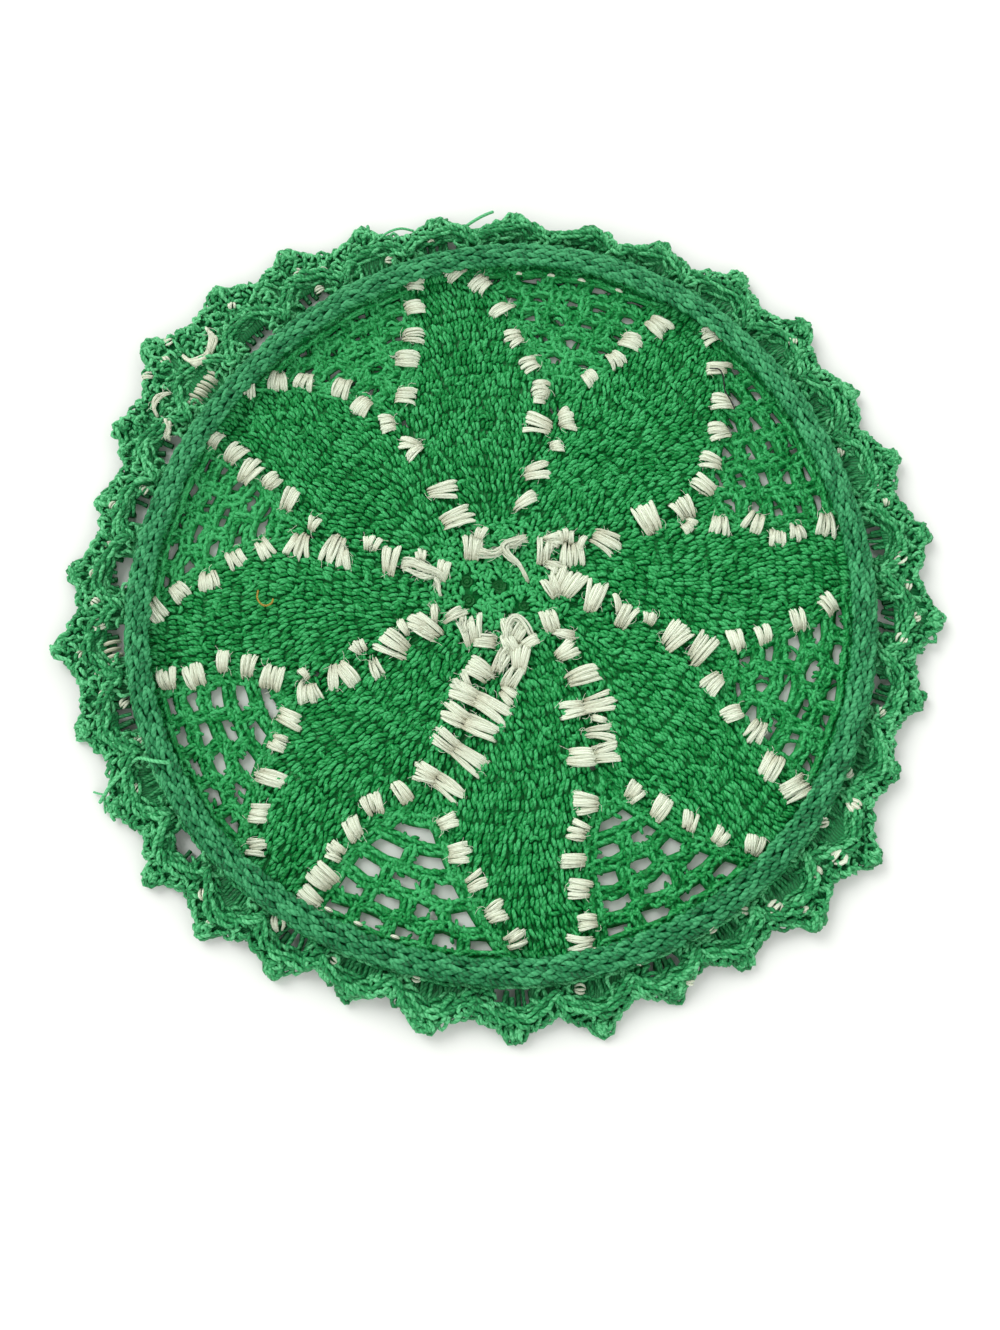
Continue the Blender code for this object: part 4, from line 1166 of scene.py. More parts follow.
def add_tuft(strands, hairs, x, y, direction, length, width, lobes=None, gather=GATHER, fan=FAN,
             root=-ROOT_DEPTH):
    """Soft fingers of yarn side by side, gathered at the near end and fanning out at the far end.

    x, y: the tuft's middle, from the doily's centre; direction: of its far end, in degrees.
    """
    fingers = lobes or max(2, round(width / FINGER_PITCH))
    count = max(2, round(1.1 * width / fingers / YARN_PITCH))
    share = YARN_STEPS + 0.5
    spread = gather + (fan - gather) * share
    full = YARN_OVERLAP * width / fingers / count * spread * YARN_SHAPE
    arc = 1.0 - np.abs(2.0 * YARN_STEPS) ** 4.0
    low = np.where(YARN_STEPS < 0.0, root, -TIP_DEPTH)
    # Painted shade at the tuft's gathered end.
    shade = ROOT_PAINTED_SHADE * np.clip(-2.0 * YARN_STEPS - 0.20, 0.0, 1.0)
    for side in spaced(fingers):
        side = side + stray(0.14) / fingers
        size = length * (1.0 + stray(0.07))
        shift = stray(0.28 * MM) + TUFT_BULGE * (1.0 - side ** 2)
        sway = stray(0.06 * length) * share ** 2
        point = FINGER_POINT + (1.0 - FINGER_POINT) * chance.random()
        narrowing = 1.0 - (1.0 - point) * smooth(share, 0.50, 1.0)
        finger_tone = YARN_TONE + stray(0.06)
        for within in spaced(count):
            within = within + stray(0.10)
            ahead = YARN_STEPS * size * (1.0 - FINGER_BULGE * within ** 2 + stray(0.03)) + shift
            wave = 0.14 * MM * np.sin(5.0 * share + 6.0 * chance.random())
            aside = (side + within / fingers * narrowing) * width / 2.0 * spread + sway + wave
            step_x, step_y = turned(ahead, aside, math.radians(direction))
            crown = TUFT_CROWN * (1.0 - side ** 2) - FINGER_CROWN * within ** 2
            high = YARN_LIFT * (1.0 + stray(0.14)) + crown
            level = face_height(x + step_x, y + step_y) + low + (high - low) * arc
            tone = finger_tone + 0.26 * chance.random() - shade
            thick = full * (0.85 + 0.30 * chance.random()) * narrowing ** 0.5
            strands.add(centre_paths(x + step_x, y + step_y, level), thick, tone, flat=YARN_FLAT, tips=True)
    add_hairs(hairs, x, y, direction, length, width, HAIRS)


def add_bow(strands, hairs, x, y, direction, length, width, lobes):
    """A long tuft pinched near its middle, with a fan of yarn to each side."""
    step_x, step_y = turned((BOW_PINCH - 0.5) * length, 0.0, math.radians(direction))
    for way, share in ((0.0, 1.0 - BOW_PINCH), (180.0, BOW_PINCH)):
        bent = direction + way + stray(5.0)
        fan_x, fan_y = turned(share * length * 0.5, 0.0, math.radians(bent))
        add_tuft(strands, hairs, x + step_x + fan_x, y + step_y + fan_y, bent, BOW_REACH * share * length,
                 width, lobes, gather=BOW_GATHER, fan=BOW_FAN, root=BOW_ROOT)


def add_edge_tuft(strands, hairs, sector, side, radius, degrees):
    """A tuft across a petal's outer edge; its far end lies on the petal."""
    outward, around = edge_frame(lambda r: edge_angle(sector, side, r), radius)
    across = math.degrees(math.atan2(outward * side, -around * side))
    x, y = turned(radius, 0.0, math.radians(degrees))
    add_tuft(strands, hairs, x, y, degrees + across + stray(9.0),
             TUFT_LENGTH * (1.0 + stray(0.16)), TUFT_WIDTH * (1.0 + stray(0.13)),
             gather=0.72 + 0.3 * chance.random(), fan=1.08 + 0.34 * chance.random())


def add_seam_tuft(strands, hairs, sector, radius, off, length, width, direction, lobes):
    """A tuft on the seam between two petals; sizes in mm."""
    degrees = float(seam_angle(sector, radius * MM))
    x, y = turned(radius * MM, off * MM, math.radians(degrees))
    length, width = length * MM, width * MM
    if length > BOW_FROM:
        add_bow(strands, hairs, x, y, degrees + direction, length, width, lobes)
    else:
        add_tuft(strands, hairs, x, y, degrees + direction, STEM_REACH * length, STEM_SPREAD * width, lobes)


def white_tufts(strands, hairs):
    for sector, edges in zip(SECTORS, TUFTS):
        for side, places in zip((CLOCKWISE, COUNTER), edges):
            for radius, degrees in places:
                add_edge_tuft(strands, hairs, sector, side, radius * MM, degrees)
    for sector, tufts in zip(SECTORS, STEM_TUFTS):
        for tuft in tufts:
            add_seam_tuft(strands, hairs, sector, *tuft)


def smooth_route(points, steps):
    """A smooth line through given places (Catmull-Rom)."""
    points = np.asarray(points, float)
    padded = np.concatenate((2 * points[:1] - points[1:2], points, 2 * points[-1:] - points[-2:-1]))
    at = np.linspace(0.0, len(points) - 1.000001, steps)
    k = at.astype(int)
    t = (at - k)[:, None]
    a, b, c, d = (padded[k + i] for i in range(4))
    bend = (2 * a - 5 * b + 4 * c - d) * t ** 2 + (3 * b - a - 3 * c + d) * t ** 3
    return 0.5 * (2 * b + (c - a) * t + bend)


def add_bundle(strands, hairs, places, width, count):
    """Fine strands side by side along a route; places are x, y in mm from the centre."""
    route = smooth_route(places, BUNDLE_STEPS) * MM
    ahead = unit(np.gradient(route, axis=0))
    aside = np.stack((-ahead[:, 1], ahead[:, 0]), axis=1)
    at = np.linspace(0.0, 1.0, BUNDLE_STEPS)
    ends = 1.0 - np.clip(1.0 - at * 6.0, 0.0, 1.0) ** 2 - np.clip(at * 6.0 - 5.0, 0.0, 1.0) ** 2
    for spot in spaced(count):
        phase = BUNDLE_TWIST * at * 2.0 * math.pi + stray(0.3)
        wave = 0.22 * MM * np.sin(at * (5.0 + 5.0 * chance.random()) + 6.0 * chance.random())
        off = width / 2.0 * spot * np.cos(phase) + wave
        rise = BUNDLE_RISE + width * spot * (0.21 * np.sin(phase) - 0.22 * spot) + stray(0.15 * MM)
        x, y = (route + aside * off[:, None]).T
        level = face_height(x, y) + rise * ends - BUNDLE_DEPTH * (1.0 - ends)
        tones = np.clip(BUNDLE_TONE + stray(0.12) - BUNDLE_END_PAINTED_SHADE * (1.0 - ends), 0.0, 1.0)
        thick = BUNDLE_THICKNESS * width / count * (0.85 + 0.3 * chance.random())
        strands.add(centre_paths(x, y, level), thick, tones, flat=0.9, tips=True)
    for k in range(2, BUNDLE_STEPS - 2, 3):
        direction = math.degrees(math.atan2(ahead[k, 1], ahead[k, 0]))
        add_hairs(hairs, *route[k], direction, 2.0 * MM, width, 4, BUNDLE_RISE)


# Tufts around the centre: middle in mm from the centre, direction, length, width, lobes and fan.
CENTRE_TUFTS = (
    (-5.3, 14.8, 62, 4.4, 3.2, 2, 1.1), (-7.3, 10.6, 84, 7.4, 5.6, 4, 1.0),
    (20.5, 9.6, -88, 7.4, 6.2, 4, 1.2), (18.8, 14.0, 95, 4.6, 4.6, 3, 1.0),
    (18.3, 0.6, 62, 9.0, 8.6, 5, 1.35), (14.6, -0.6, 118, 6.5, 4.0, 2, 1.3),
    (23.2, 12.4, 70, 5.0, 1.8, 1, 1.0), (-15.5, 4.6, 82, 5.0, 3.3, 2, 1.3),
    (-21.9, 8.4, 92, 3.6, 3.3, 3, 1.0), (-22.2, -11.3, 152, 7.0, 4.2, 2, 1.2),
    (-18.0, -8.2, 97, 6.0, 2.5, 1, 1.1), (-12.7, -8.8, 24, 7.4, 3.2, 2, 1.0),
    (-7.6, -13.2, 102, 8.4, 5.4, 4, 1.2), (-3.4, -16.0, 176, 7.4, 4.6, 3, 1.0),
    (2.2, -12.4, 112, 7.0, 3.6, 2, 0.8), (5.4, -13.6, 62, 7.0, 4.0, 3, 0.9),
    (8.2, -16.4, 36, 5.6, 3.4, 2, 1.2), (3.0, -17.0, 116, 7.8, 4.6, 3, 1.0),
    (0.6, -21.8, 58, 8.0, 4.2, 3, 1.0), (5.8, -20.8, 84, 8.8, 5.0, 4, 1.2),
    (12.8, 9.4, 80, 8.4, 4.4, 3, 1.0), (15.4, 13.6, 12, 5.4, 3.2, 2, 1.1),
    (14.6, 5.6, -24, 5.4, 3.0, 2, 1.1), (-5.2, -24.2, 148, 8.4, 6.0, 4, 1.1),
    (3.6, -26.2, 60, 7.6, 5.4, 4, 1.1), (2.2, -30.6, -38, 5.6, 3.4, 2, 1.2),
    (-8.7, -27.0, 118, 5.0, 2.0, 1, 1.0), (14.0, -10.4, 112, 7.0, 5.0, 3, 1.0),
    (18.3, -14.2, 174, 6.6, 3.2, 2, 0.7),
)
# Ribbons of yarn around the centre: route in mm from the centre, width and strands.
CENTRE_BUNDLES = (
    (((-6.3, 9.6), (-1.8, 8.8), (1.6, 10.6)), 2.8, 3),
    (((8.1, 13.8), (4.6, 12.8), (1.6, 11.2), (2.4, 8.6), (5.6, 5.6), (8.1, 1.0)), 2.6, 3),
    (((1.8, 11.8), (4.8, 11.4), (7.8, 14.2)), 1.6, 2),
    (((16.8, 11.6), (15.0, 11.8), (14.4, 9.6)), 2.0, 2),
    (((-27.4, 6.6), (-24.0, 6.0), (-20.6, 4.4), (-17.6, 3.6), (-14.7, 1.4)), 3.8, 4),
    (((-26.8, 5.0), (-21.6, 2.6), (-18.0, 2.2)), 1.4, 1),
    (((-17.6, 2.4), (-17.2, 0.4), (-16.2, -3.0)), 1.3, 1),
    (((-10.2, -8.6), (-9.8, -11.4), (-8.6, -13.6)), 1.8, 2),
    (((2.0, -18.4), (2.4, -11.6), (4.4, -9.4), (7.0, -11.4), (9.4, -15.2)), 2.2, 2),
    (((0.6, -24.4), (1.0, -20.4), (3.0, -17.0)), 1.8, 2),
    (((-12.4, -26.4), (-10.6, -29.4), (-8.2, -31.4)), 1.5, 1),
)


def centre_yarn(strands, hairs):
    for x, y, direction, length, width, lobes, fan in CENTRE_TUFTS:
        add_tuft(strands, hairs, x * MM, y * MM, direction, length * MM, width * MM, lobes, fan=fan)
    for places, width, count in CENTRE_BUNDLES:
        add_bundle(strands, hairs, places, width * MM, count * BUNDLE_FINER + 1)


# White scraps worked into the edging: angle, radius in mm, direction from outward, length and thickness.
SCRAPS = (
    (4.0, 112.0, 20, 5.2, 1.3), (12.5, 112.2, 80, 2.4, 1.2), (15.0, 111.0, -30, 2.2, 1.0),
    (22.0, 105.6, 60, 2.6, 1.1), (40.5, 113.0, 40, 2.4, 1.2), (101.0, 108.4, 80, 2.4, 1.0),
    (108.0, 105.4, 70, 2.8, 1.1), (118.5, 109.7, 75, 2.6, 1.1), (122.0, 113.3, 60, 2.8, 1.2),
    (120.5, 105.0, 90, 2.8, 1.1), (132.8, 116.5, -20, 2.6, 1.4), (142.8, 121.6, 70, 2.8, 1.2),
    (145.2, 118.8, -10, 3.0, 1.3), (148.5, 119.6, 30, 3.8, 1.2), (168.0, 111.4, 60, 2.6, 1.2),
    (174.0, 109.7, 30, 2.6, 1.2), (178.3, 113.0, 75, 2.6, 1.2), (182.5, 112.0, -40, 2.6, 1.2),
    (186.0, 110.9, 20, 3.6, 1.8), (189.8, 116.4, 60, 2.6, 1.2), (193.0, 111.8, 80, 2.8, 1.2),
    (196.0, 111.6, -60, 2.6, 1.2), (198.0, 107.0, 40, 2.8, 1.2), (204.0, 106.2, 20, 2.8, 1.2),
    (227.3, 113.3, 60, 3.2, 1.4), (230.3, 117.8, 0, 2.4, 1.1), (237.5, 107.4, 50, 4.2, 1.7),
    (258.5, 106.2, 80, 2.6, 1.1), (281.0, 109.0, 70, 2.8, 1.2), (290.0, 106.4, 40, 2.6, 1.2),
    (295.0, 115.8, 60, 2.6, 1.2), (301.0, 107.2, 90, 3.0, 1.3), (306.5, 107.9, 60, 3.0, 1.5),
    (309.5, 112.9, 100, 4.4, 1.9), (312.5, 118.0, 60, 2.6, 1.1), (317.0, 113.8, 20, 3.2, 1.5),
    (320.5, 115.3, 80, 4.4, 2.0), (323.0, 107.7, 50, 3.0, 1.3), (327.3, 112.0, 0, 3.4, 2.4),
    (331.0, 106.9, 60, 3.0, 1.3), (341.0, 109.6, 70, 3.0, 1.4), (352.0, 111.7, 50, 3.0, 1.4),
    (355.5, 115.6, 30, 2.8, 1.3), (0.0, 113.6, 70, 3.0, 1.4), (164.5, 104.6, 85, 2.6, 1.1),
    (210.0, 112.0, 30, 2.6, 1.1), (247.0, 108.5, 70, 2.4, 1.0), (334.0, 103.6, 85, 2.8, 1.2),
)
# White specks that show from under the ring's inner side, as angles.
SPECKS = (68.5, 75.3, 80.7, 86.5, 243.0, 248.0, 254.0, 282.5)
# Thicker wool in the edging: routes as (angle, radius in mm), thickness in mm.
WOOL_ROUTES = (
    (((137.9, 114.6), (138.4, 112.2), (140.3, 110.0), (141.9, 109.4), (143.4, 111.0), (143.1, 114.2)), 4.2),
    (((149.0, 111.4), (150.4, 113.0), (152.0, 112.6), (153.0, 110.6)), 1.4),
    (((153.0, 107.0), (154.2, 105.2), (155.6, 104.6)), 2.0),
)
WOOL_PITCH = 0.75 * MM
WOOL_STEPS = np.linspace(-0.5, 0.5, 5)
WOOL_ENDS = np.array((0.55, 0.95, 1.05, 0.95, 0.55))       # thickness along a scrap
WOOL_ROUTE_STEPS = 16
WOOL_RISE, WOOL_DIVE = 0.6 * MM, 0.8 * MM                  # over the edging's face, and down at its ends
KNOT_STRANDS = 3                   # strands of a scrap, bowed apart from each other
SCRAP_STRAND = 0.62                # their thickness, and how far apart they lie, in the scrap's thickness
SCRAP_SPREAD = 0.42
SCRAP_BOW = 0.16                   # how far their middles bow apart, in the scrap's length
COILS = ((142.6, 148.6, 10, 0.0), (188.6, 192.8, 5, 3.4))    # from and to an angle, loops, and mm further out
COIL_MIDDLE, COIL_LENGTH = 104.85 * MM, 4.9 * MM


def edging_face(scallops, degrees, radius):
    """Height of the edging's upper face at an angle and a radius."""
    for scallop in scallops:
        turn = (degrees - scallop.angle + 180.0) % 360.0 - 180.0
        if -scallop.half_back <= turn <= scallop.half_ahead:
            half = scallop.half_ahead if turn > 0.0 else scallop.half_back
            return float(scallop.top(turn / half, radius))
    return RIM_LIFT + EDGING_THICKNESS


def add_scrap(strands, level, degrees, radius, direction, length, thick):
    """A small knot of white wool: strands bowed apart from each other; sizes in mm."""
    for side in np.linspace(-1.0, 1.0, KNOT_STRANDS):
        turn = math.radians(direction + stray(9.0))
        bend = SCRAP_SPREAD * thick * side + (SCRAP_BOW * side + stray(0.07)) * length * hump(WOOL_STEPS)
        outward, around = turned(WOOL_STEPS * length, bend, turn)
        height = level + (0.25 - 0.25 * abs(side) - 0.9 * (1.0 - hump(WOOL_STEPS))) * MM
        angle = degrees + np.degrees(around / (radius + outward))
        strands.add(to_paths((radius + outward) * MM, angle, height), SCRAP_STRAND * thick * MM * WOOL_ENDS,
                    0.66 + 0.34 * chance.random(), flat=0.9, tips=True)


def add_speck(strands, degrees):
    """A bit of wool that shows from under the ring's inner side."""
    radius = float(ring_radius(degrees)) - RING_HALF_WIDTH - 0.9 * MM
    angle = degrees + np.degrees(WOOL_STEPS * 2.2 * MM / radius)
    strands.add(to_paths(radius, angle, net_top(radius, degrees) + 0.5 * MM * hump(WOOL_STEPS)),
                1.1 * MM * WOOL_ENDS, 0.85, flat=0.8, tips=True)


def add_wool(strands, hairs, scallops, route, width):
    """Strands of thicker wool side by side along a route."""
    degrees, radius = smooth_route(route, WOOL_ROUTE_STEPS).T
    radius = radius * MM
    level = np.array([edging_face(scallops, *place) for place in zip(degrees, radius)]) + WOOL_RISE
    level[[0, -1]] -= WOOL_DIVE
    count = max(2, round(width / WOOL_PITCH))
    spread = width * (0.45 + 0.65 * np.abs(np.linspace(-1.0, 1.0, WOOL_ROUTE_STEPS)) ** 1.5)
    for part in spaced(count) / 2.0:
        wave = 0.40 * MM * np.sin(np.linspace(0.0, 6.0, WOOL_ROUTE_STEPS) + 6.0 * chance.random())
        sink = (2.0 * part ** 2 - 0.3 * chance.random()) * MM
        strands.add(to_paths(radius + part * spread + wave, degrees, level - sink), width * 1.4 / count,
                    0.50 + 0.35 * chance.random(), flat=0.8, tips=True)
    for at, place in zip(np.radians(degrees[1::5]), radius[1::5]):
        add_hairs(hairs, *turned(place, 0.0, at), 0.0, 2.0 * MM, 2.0 * MM, 3, 1.0 * MM)


def add_coil(strands, first, last, count, out):
    """White loops wound around the rim's edge, between two angles."""
    for degrees in np.linspace(first, last, count):
        radius = COIL_MIDDLE + out * MM + COIL_LENGTH * WOOL_STEPS + stray(0.25 * MM)
        angle = degrees + stray(0.10) + 0.4 * WOOL_STEPS
        level = RIM_LIFT + (1.6 * hump(WOOL_STEPS) - 0.1) * MM
        tone = 0.30 + 0.35 * chance.random()
        strands.add(to_paths(radius, angle, level), 1.1 * MM, tone, flat=0.9, tips=True)


def edging_wool(scallops, hairs):
    strands = Strands(sides=6, side_shade=YARN_PAINTED_SIDE_SHADE)
    for degrees, radius, *shape in SCRAPS:
        add_scrap(strands, edging_face(scallops, degrees, radius * MM), degrees, radius, *shape)
    for degrees in SPECKS:
        add_speck(strands, degrees)
    for route, width in WOOL_ROUTES:
        add_wool(strands, hairs, scallops, route, width * MM)
    for coil in COILS:
        add_coil(strands, *coil)
    return strands


# Loose ends of green thread: routes as (angle, radius in mm, height over the floor in mm), thickness.
LOOSE_THREADS = (
    (((96.8, 109.2, 3.6), (94.8, 111.6, 4.2), (92.6, 114.4, 3.8), (90.9, 116.6, 2.6)), 1.0),
    (((103.2, 112.6, 3.6), (105.0, 113.8, 4.4), (107.0, 113.6, 4.4), (108.8, 112.4, 3.6)), 0.8),
    (((209.8, 100.2, 7.2), (209.2, 101.6, 8.7), (208.2, 104.0, 8.2), (207.0, 106.4, 6.4), (206.5, 108.8, 4.6),
      (207.4, 113.0, 4.4), (208.1, 117.6, 3.8), (208.7, 120.2, 2.4), (209.1, 122.4, 1.2)), 1.1),
    (((208.8, 120.4, 2.2), (209.9, 121.8, 1.2), (210.6, 122.4, 0.7)), 0.6),
    (((208.7, 120.0, 2.2), (208.0, 121.8, 1.2), (207.5, 122.9, 0.7)), 0.6),
)
# A dark thread caught on the net at the upper right, and a golden curl on the left petal: route as
# (angle, radius in mm), thickness and height in mm.
DARK_THREAD = (
    ((46.5, 88.9), (45.1, 90.4), (43.4, 89.3), (41.5, 86.9), (39.2, 86.1), (37.4, 85.3)), 0.42, 5.2)
GOLD_CURL = (
    ((181.6, 66.7), (183.3, 66.9), (184.8, 66.1), (185.6, 64.6), (185.0, 63.0), (183.9, 62.6)), 0.55, 5.0)


def thread_end(strands, route, height, thick, tone):
    """One loose thread along a route of angles and radii; height and thickness in mm."""
    strands.add(to_paths(route[:, 1] * MM, route[:, 0], height * MM), thick * MM, tone, tips=True)
    return strands


def loose_threads():
    strands = Strands()
    for places, thick in LOOSE_THREADS:
        route = smooth_route(places, 20)
        thread_end(strands, route, route[:, 2], thick, 0.9)
    return strands


def stray_fibre(places, thick, height):
    arch = 0.5 * np.sin(np.linspace(0.0, math.pi, 20))
    return thread_end(Strands(), smooth_route(places, 20), height - 0.4 + arch, thick, 0.5)


# ---------------------------------------------------------------- materials
# Dark, middle and light colours of each cotton, and where they lie in its tones; painted shade in the tones
# moves a colour to the dark end, painted light to the light end.
PETAL_SHADES = ((0.002, 0.114, 0.018), (0.003, 0.235, 0.044), (0.052, 0.430, 0.135))
BORDER_SHADES = ((0.006, 0.124, 0.034), (0.022, 0.292, 0.086), (0.135, 0.575, 0.245))
RING_SHADES = ((0.001, 0.050, 0.012), (0.008, 0.180, 0.055), (0.060, 0.370, 0.145))
WHITE_SHADES = ((0.26, 0.235, 0.135), (0.57, 0.585, 0.43), (0.80, 0.88, 0.70))
DARK_SHADES = ((0.004, 0.004, 0.006), (0.01, 0.01, 0.012), (0.03, 0.03, 0.03))
GOLD_SHADES = ((0.10, 0.06, 0.005), (0.30, 0.19, 0.02), (0.55, 0.40, 0.08))
SHADE_PLACES = (0.05, 0.50, 0.95)
FIBRE_TONE = 0.5                   # how much the fine fibres change the tone, and the relief
FIBRE_HEIGHT = 0.35
BUMP_DEPTH = 0.25 * MM


def set_stops(ramp, colours):
    """Gives a new ramp its colours, as places and colours in order."""
    stops = ramp.color_ramp.elements
    for number, (place, colour) in enumerate(colours):
        stop = stops[number] if number < 2 else stops.new(place)
        stop.position = place
        stop.color = (*colour, 1.0)


def thread_material(name, shades, twist=0.85, roughness=0.42, sheen=0.0, plies=2.0,
                    bump=0.6, fibre_scale=2600.0, specular=0.25, ply_painted_light=0.35):
    """Twisted cotton: the plies show as slanted ridges, painted lighter on their crests and darker in the
    grooves, and each stitch has its own tone.
    """
    material = bpy.data.materials.new(name)
    material.use_nodes = True
    nodes, links = material.node_tree.nodes, material.node_tree.links
    surface = nodes["Principled BSDF"]
    surface.inputs["Roughness"].default_value = roughness
    surface.inputs["Sheen Weight"].default_value = sheen
    surface.inputs["Specular IOR Level"].default_value = specular

    def add_node(kind, **inputs):
        node = nodes.new("ShaderNode" + kind)
        for socket, value in inputs.items():
            if isinstance(value, bpy.types.NodeSocket):
                links.new(value, node.inputs[socket])
            else:
                node.inputs[socket].default_value = value
        return node

    def calculate(operation, *values):
        node = nodes.new("ShaderNodeMath")
        node.operation = operation
        for socket, value in zip(node.inputs, values):
            if isinstance(value, bpy.types.NodeSocket):
                links.new(value, socket)
            else:
                socket.default_value = value
        return node.outputs[0]

    thread_map = add_node("UVMap")
    thread_map.uv_map = "thread"
    split = add_node("SeparateXYZ", Vector=thread_map.outputs["UV"])
    along = calculate("MULTIPLY", split.outputs["X"], twist)
    around = calculate("MULTIPLY", split.outputs["Y"], plies)
    turns = calculate("ADD", along, around)
    ply = calculate("ABSOLUTE", calculate("SINE", calculate("MULTIPLY", turns, math.pi)))
    tone = add_node("Attribute")
    tone.attribute_name = "tone"
    place = add_node("TexCoord").outputs["Object"]
    fibres = add_node("TexNoise", Vector=place, Scale=fibre_scale, Detail=2.0).outputs["Fac"]

    # Painted light and shade: the colour is lighter on the plies' crests and darker in the grooves between
    # them.
    mix = calculate("ADD", calculate("MULTIPLY", ply, ply_painted_light),
                    calculate("MULTIPLY", tone.outputs["Fac"], 1.0 - ply_painted_light))
    mix = calculate("ADD", mix, calculate("MULTIPLY", calculate("SUBTRACT", fibres, 0.5), FIBRE_TONE))
    ramp = add_node("ValToRGB", Fac=mix)
    set_stops(ramp, zip(SHADE_PLACES, shades))
    links.new(ramp.outputs["Color"], surface.inputs["Base Color"])
    height = calculate("ADD", ply, calculate("MULTIPLY", fibres, FIBRE_HEIGHT))
    bumps = add_node("Bump", Height=height, Strength=bump, Distance=BUMP_DEPTH)
    links.new(bumps.outputs["Normal"], surface.inputs["Normal"])
    return material


def floor_material():
    material = bpy.data.materials.new("paper")
    material.use_nodes = True
    surface = material.node_tree.nodes["Principled BSDF"]
    surface.inputs["Base Color"].default_value = (0.87, 0.885, 0.85, 1.0)
    surface.inputs["Roughness"].default_value = 0.9
    return material


# How bright the room is from the horizon (0) to straight overhead (1).
ROOM_LIGHT = ((0.0, 0.64), (0.55, 0.64), (0.80, 0.24), (1.0, 0.04))
ROOM_STRENGTH = 2.55


def light_over_height(tree):
    """A soft studio: walls and windows are bright, the ceiling overhead is dim."""
    background = tree.nodes["Background"]
    background.inputs["Strength"].default_value = ROOM_STRENGTH
    kinds = ("TexCoord", "SeparateXYZ", "ValToRGB")
    place, split, ramp = (tree.nodes.new("ShaderNode" + kind) for kind in kinds)
    set_stops(ramp, [(height, (light, light, light)) for height, light in ROOM_LIGHT])
    tree.links.new(place.outputs["Generated"], split.inputs[0])
    tree.links.new(split.outputs["Z"], ramp.inputs["Fac"])
    tree.links.new(ramp.outputs["Color"], background.inputs["Color"])


# ---------------------------------------------------------------- everything in its place
yarn_white = thread_material("white_wool", WHITE_SHADES, twist=0.10, plies=6.0, roughness=0.9, sheen=0.1,
                             bump=0.5, fibre_scale=1500.0, specular=0.1, ply_painted_light=0.42)
# The looks of the pieces: material, solid that they dress, and slot.
CLOTH = (thread_material("petal_cotton", PETAL_SHADES, specular=0.2), "cloth", "crochet_green")
EDGING = (thread_material("border_cotton", BORDER_SHADES), "edging", "edging_green")
RING = (thread_material("ring_cotton", RING_SHADES, roughness=0.5), "cord_ring", "cord_green")
YARN = (yarn_white, "white_yarn", "white_yarn")
DARK = (thread_material("dark_cotton", DARK_SHADES), "white_yarn", "white_yarn")
GOLD = (thread_material("gold_fibre", GOLD_SHADES), "white_yarn", "white_yarn")

scallops = make_scallops()

ground_mesh, ground_area = medallion_ground()
ground = add_piece("medallion_ground", ground_mesh, CLOTH)
crochet = {f"petal_stitches_{petal + 1}": petal_stitches(petal) for petal in range(len(SECTORS))}
crochet["hub_stitches"] = hub_stitches()
crochet["net_ropes_1"], crochet["net_ropes_2"] = net_ropes(range(0, 4)), net_ropes(range(4, 8))
stitch_pieces = [add_piece(name, strands, CLOTH, replaces=False) for name, strands in crochet.items()]

strip_mesh, strip_area = edging_ground(scallops)
strip = add_piece("edging_ground", strip_mesh, EDGING)
half = (len(scallops) + 1) // 2
edging_pieces = [add_piece(f"edging_stitches_{number + 1}", edging_stitches(group), EDGING, replaces=False)
                 for number, group in enumerate((scallops[:half], scallops[half:]))]

add_piece("ring_core", ring_core(), RING)
add_piece("ring_stitches", ring_stitches(), RING, replaces=False)

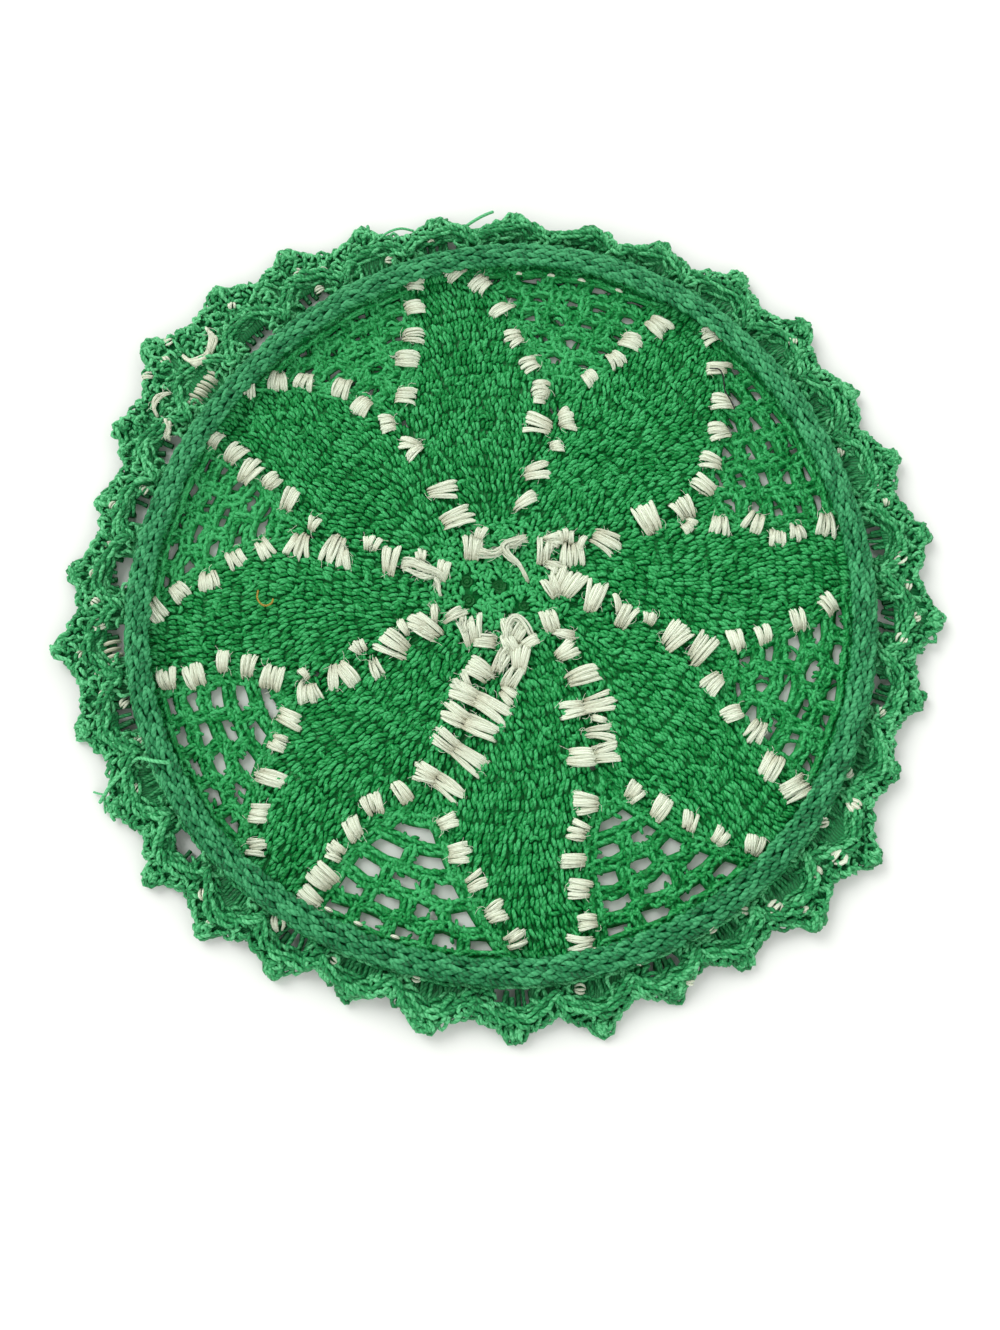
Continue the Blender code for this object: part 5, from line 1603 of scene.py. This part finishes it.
hairs = Strands(sides=3, side_shade=0.0)
tufts = Strands(side_shade=YARN_PAINTED_SIDE_SHADE)
white_tufts(tufts, hairs)
add_piece("white_tufts", tufts, YARN)
bundles = Strands(side_shade=YARN_PAINTED_SIDE_SHADE)
centre_yarn(bundles, hairs)
add_piece("white_bundles", bundles, YARN, replaces=False)
add_piece("edging_wool", edging_wool(scallops, hairs), YARN, replaces=False)
add_piece("white_hairs", hairs, YARN, replaces=False)
add_piece("loose_threads", loose_threads(), EDGING, replaces=False)
add_piece("dark_thread", stray_fibre(*DARK_THREAD), DARK, replaces=False)
add_piece("gold_curl", stray_fibre(*GOLD_CURL), GOLD, replaces=False)

# ---------------------------------------------------------------- floor, light and camera
floor_data = bpy.data.meshes.new("floor")
FLOOR_HALF = 1.5
floor_data.from_pydata([(-FLOOR_HALF, -FLOOR_HALF, 0.0), (FLOOR_HALF, -FLOOR_HALF, 0.0),
                        (FLOOR_HALF, FLOOR_HALF, 0.0), (-FLOOR_HALF, FLOOR_HALF, 0.0)], [], [(0, 1, 2, 3)])
floor = bpy.data.objects.new("floor", floor_data)
bpy.context.scene.collection.objects.link(floor)
floor_data.materials.append(floor_material())

world = bpy.data.worlds.new("studio")
world.use_nodes = True
light_over_height(world.node_tree)
bpy.context.scene.world = world

sun_data = bpy.data.lights.new("window", "SUN")
sun_data.energy = 1.55
sun_data.angle = math.radians(35.0)
sun = bpy.data.objects.new("window", sun_data)
sun.rotation_euler = Vector((-0.70, 0.75, 0.80)).to_track_quat("Z", "Y").to_euler()
bpy.context.scene.collection.objects.link(sun)

bpy.context.scene.view_settings.view_transform = "Standard"

CAMERA_DISTANCE = 0.336
CAMERA_ELEVATION = math.radians(76.0)
CAMERA_TARGET = Vector((0.0, CENTRE_Y, 0.0))
CAMERA_PLACE = CAMERA_TARGET + CAMERA_DISTANCE * Vector((0.0, -math.cos(CAMERA_ELEVATION),
                                                         math.sin(CAMERA_ELEVATION)))
TARGET_RIGHT, TARGET_UP = -0.001, 0.077     # where the target lies in the view, from its middle
camera_data = bpy.data.cameras.new("camera")
camera_data.sensor_fit = "HORIZONTAL"
camera_data.sensor_width = 36.0
camera_data.lens = 43.05
camera_data.shift_x, camera_data.shift_y = -TARGET_RIGHT, -TARGET_UP
camera_data.clip_start = 0.01
camera = bpy.data.objects.new("camera", camera_data)
camera.location = CAMERA_PLACE
camera.rotation_euler = (CAMERA_TARGET - CAMERA_PLACE).to_track_quat("-Z", "Y").to_euler()
bpy.context.scene.collection.objects.link(camera)
bpy.context.scene.camera = camera
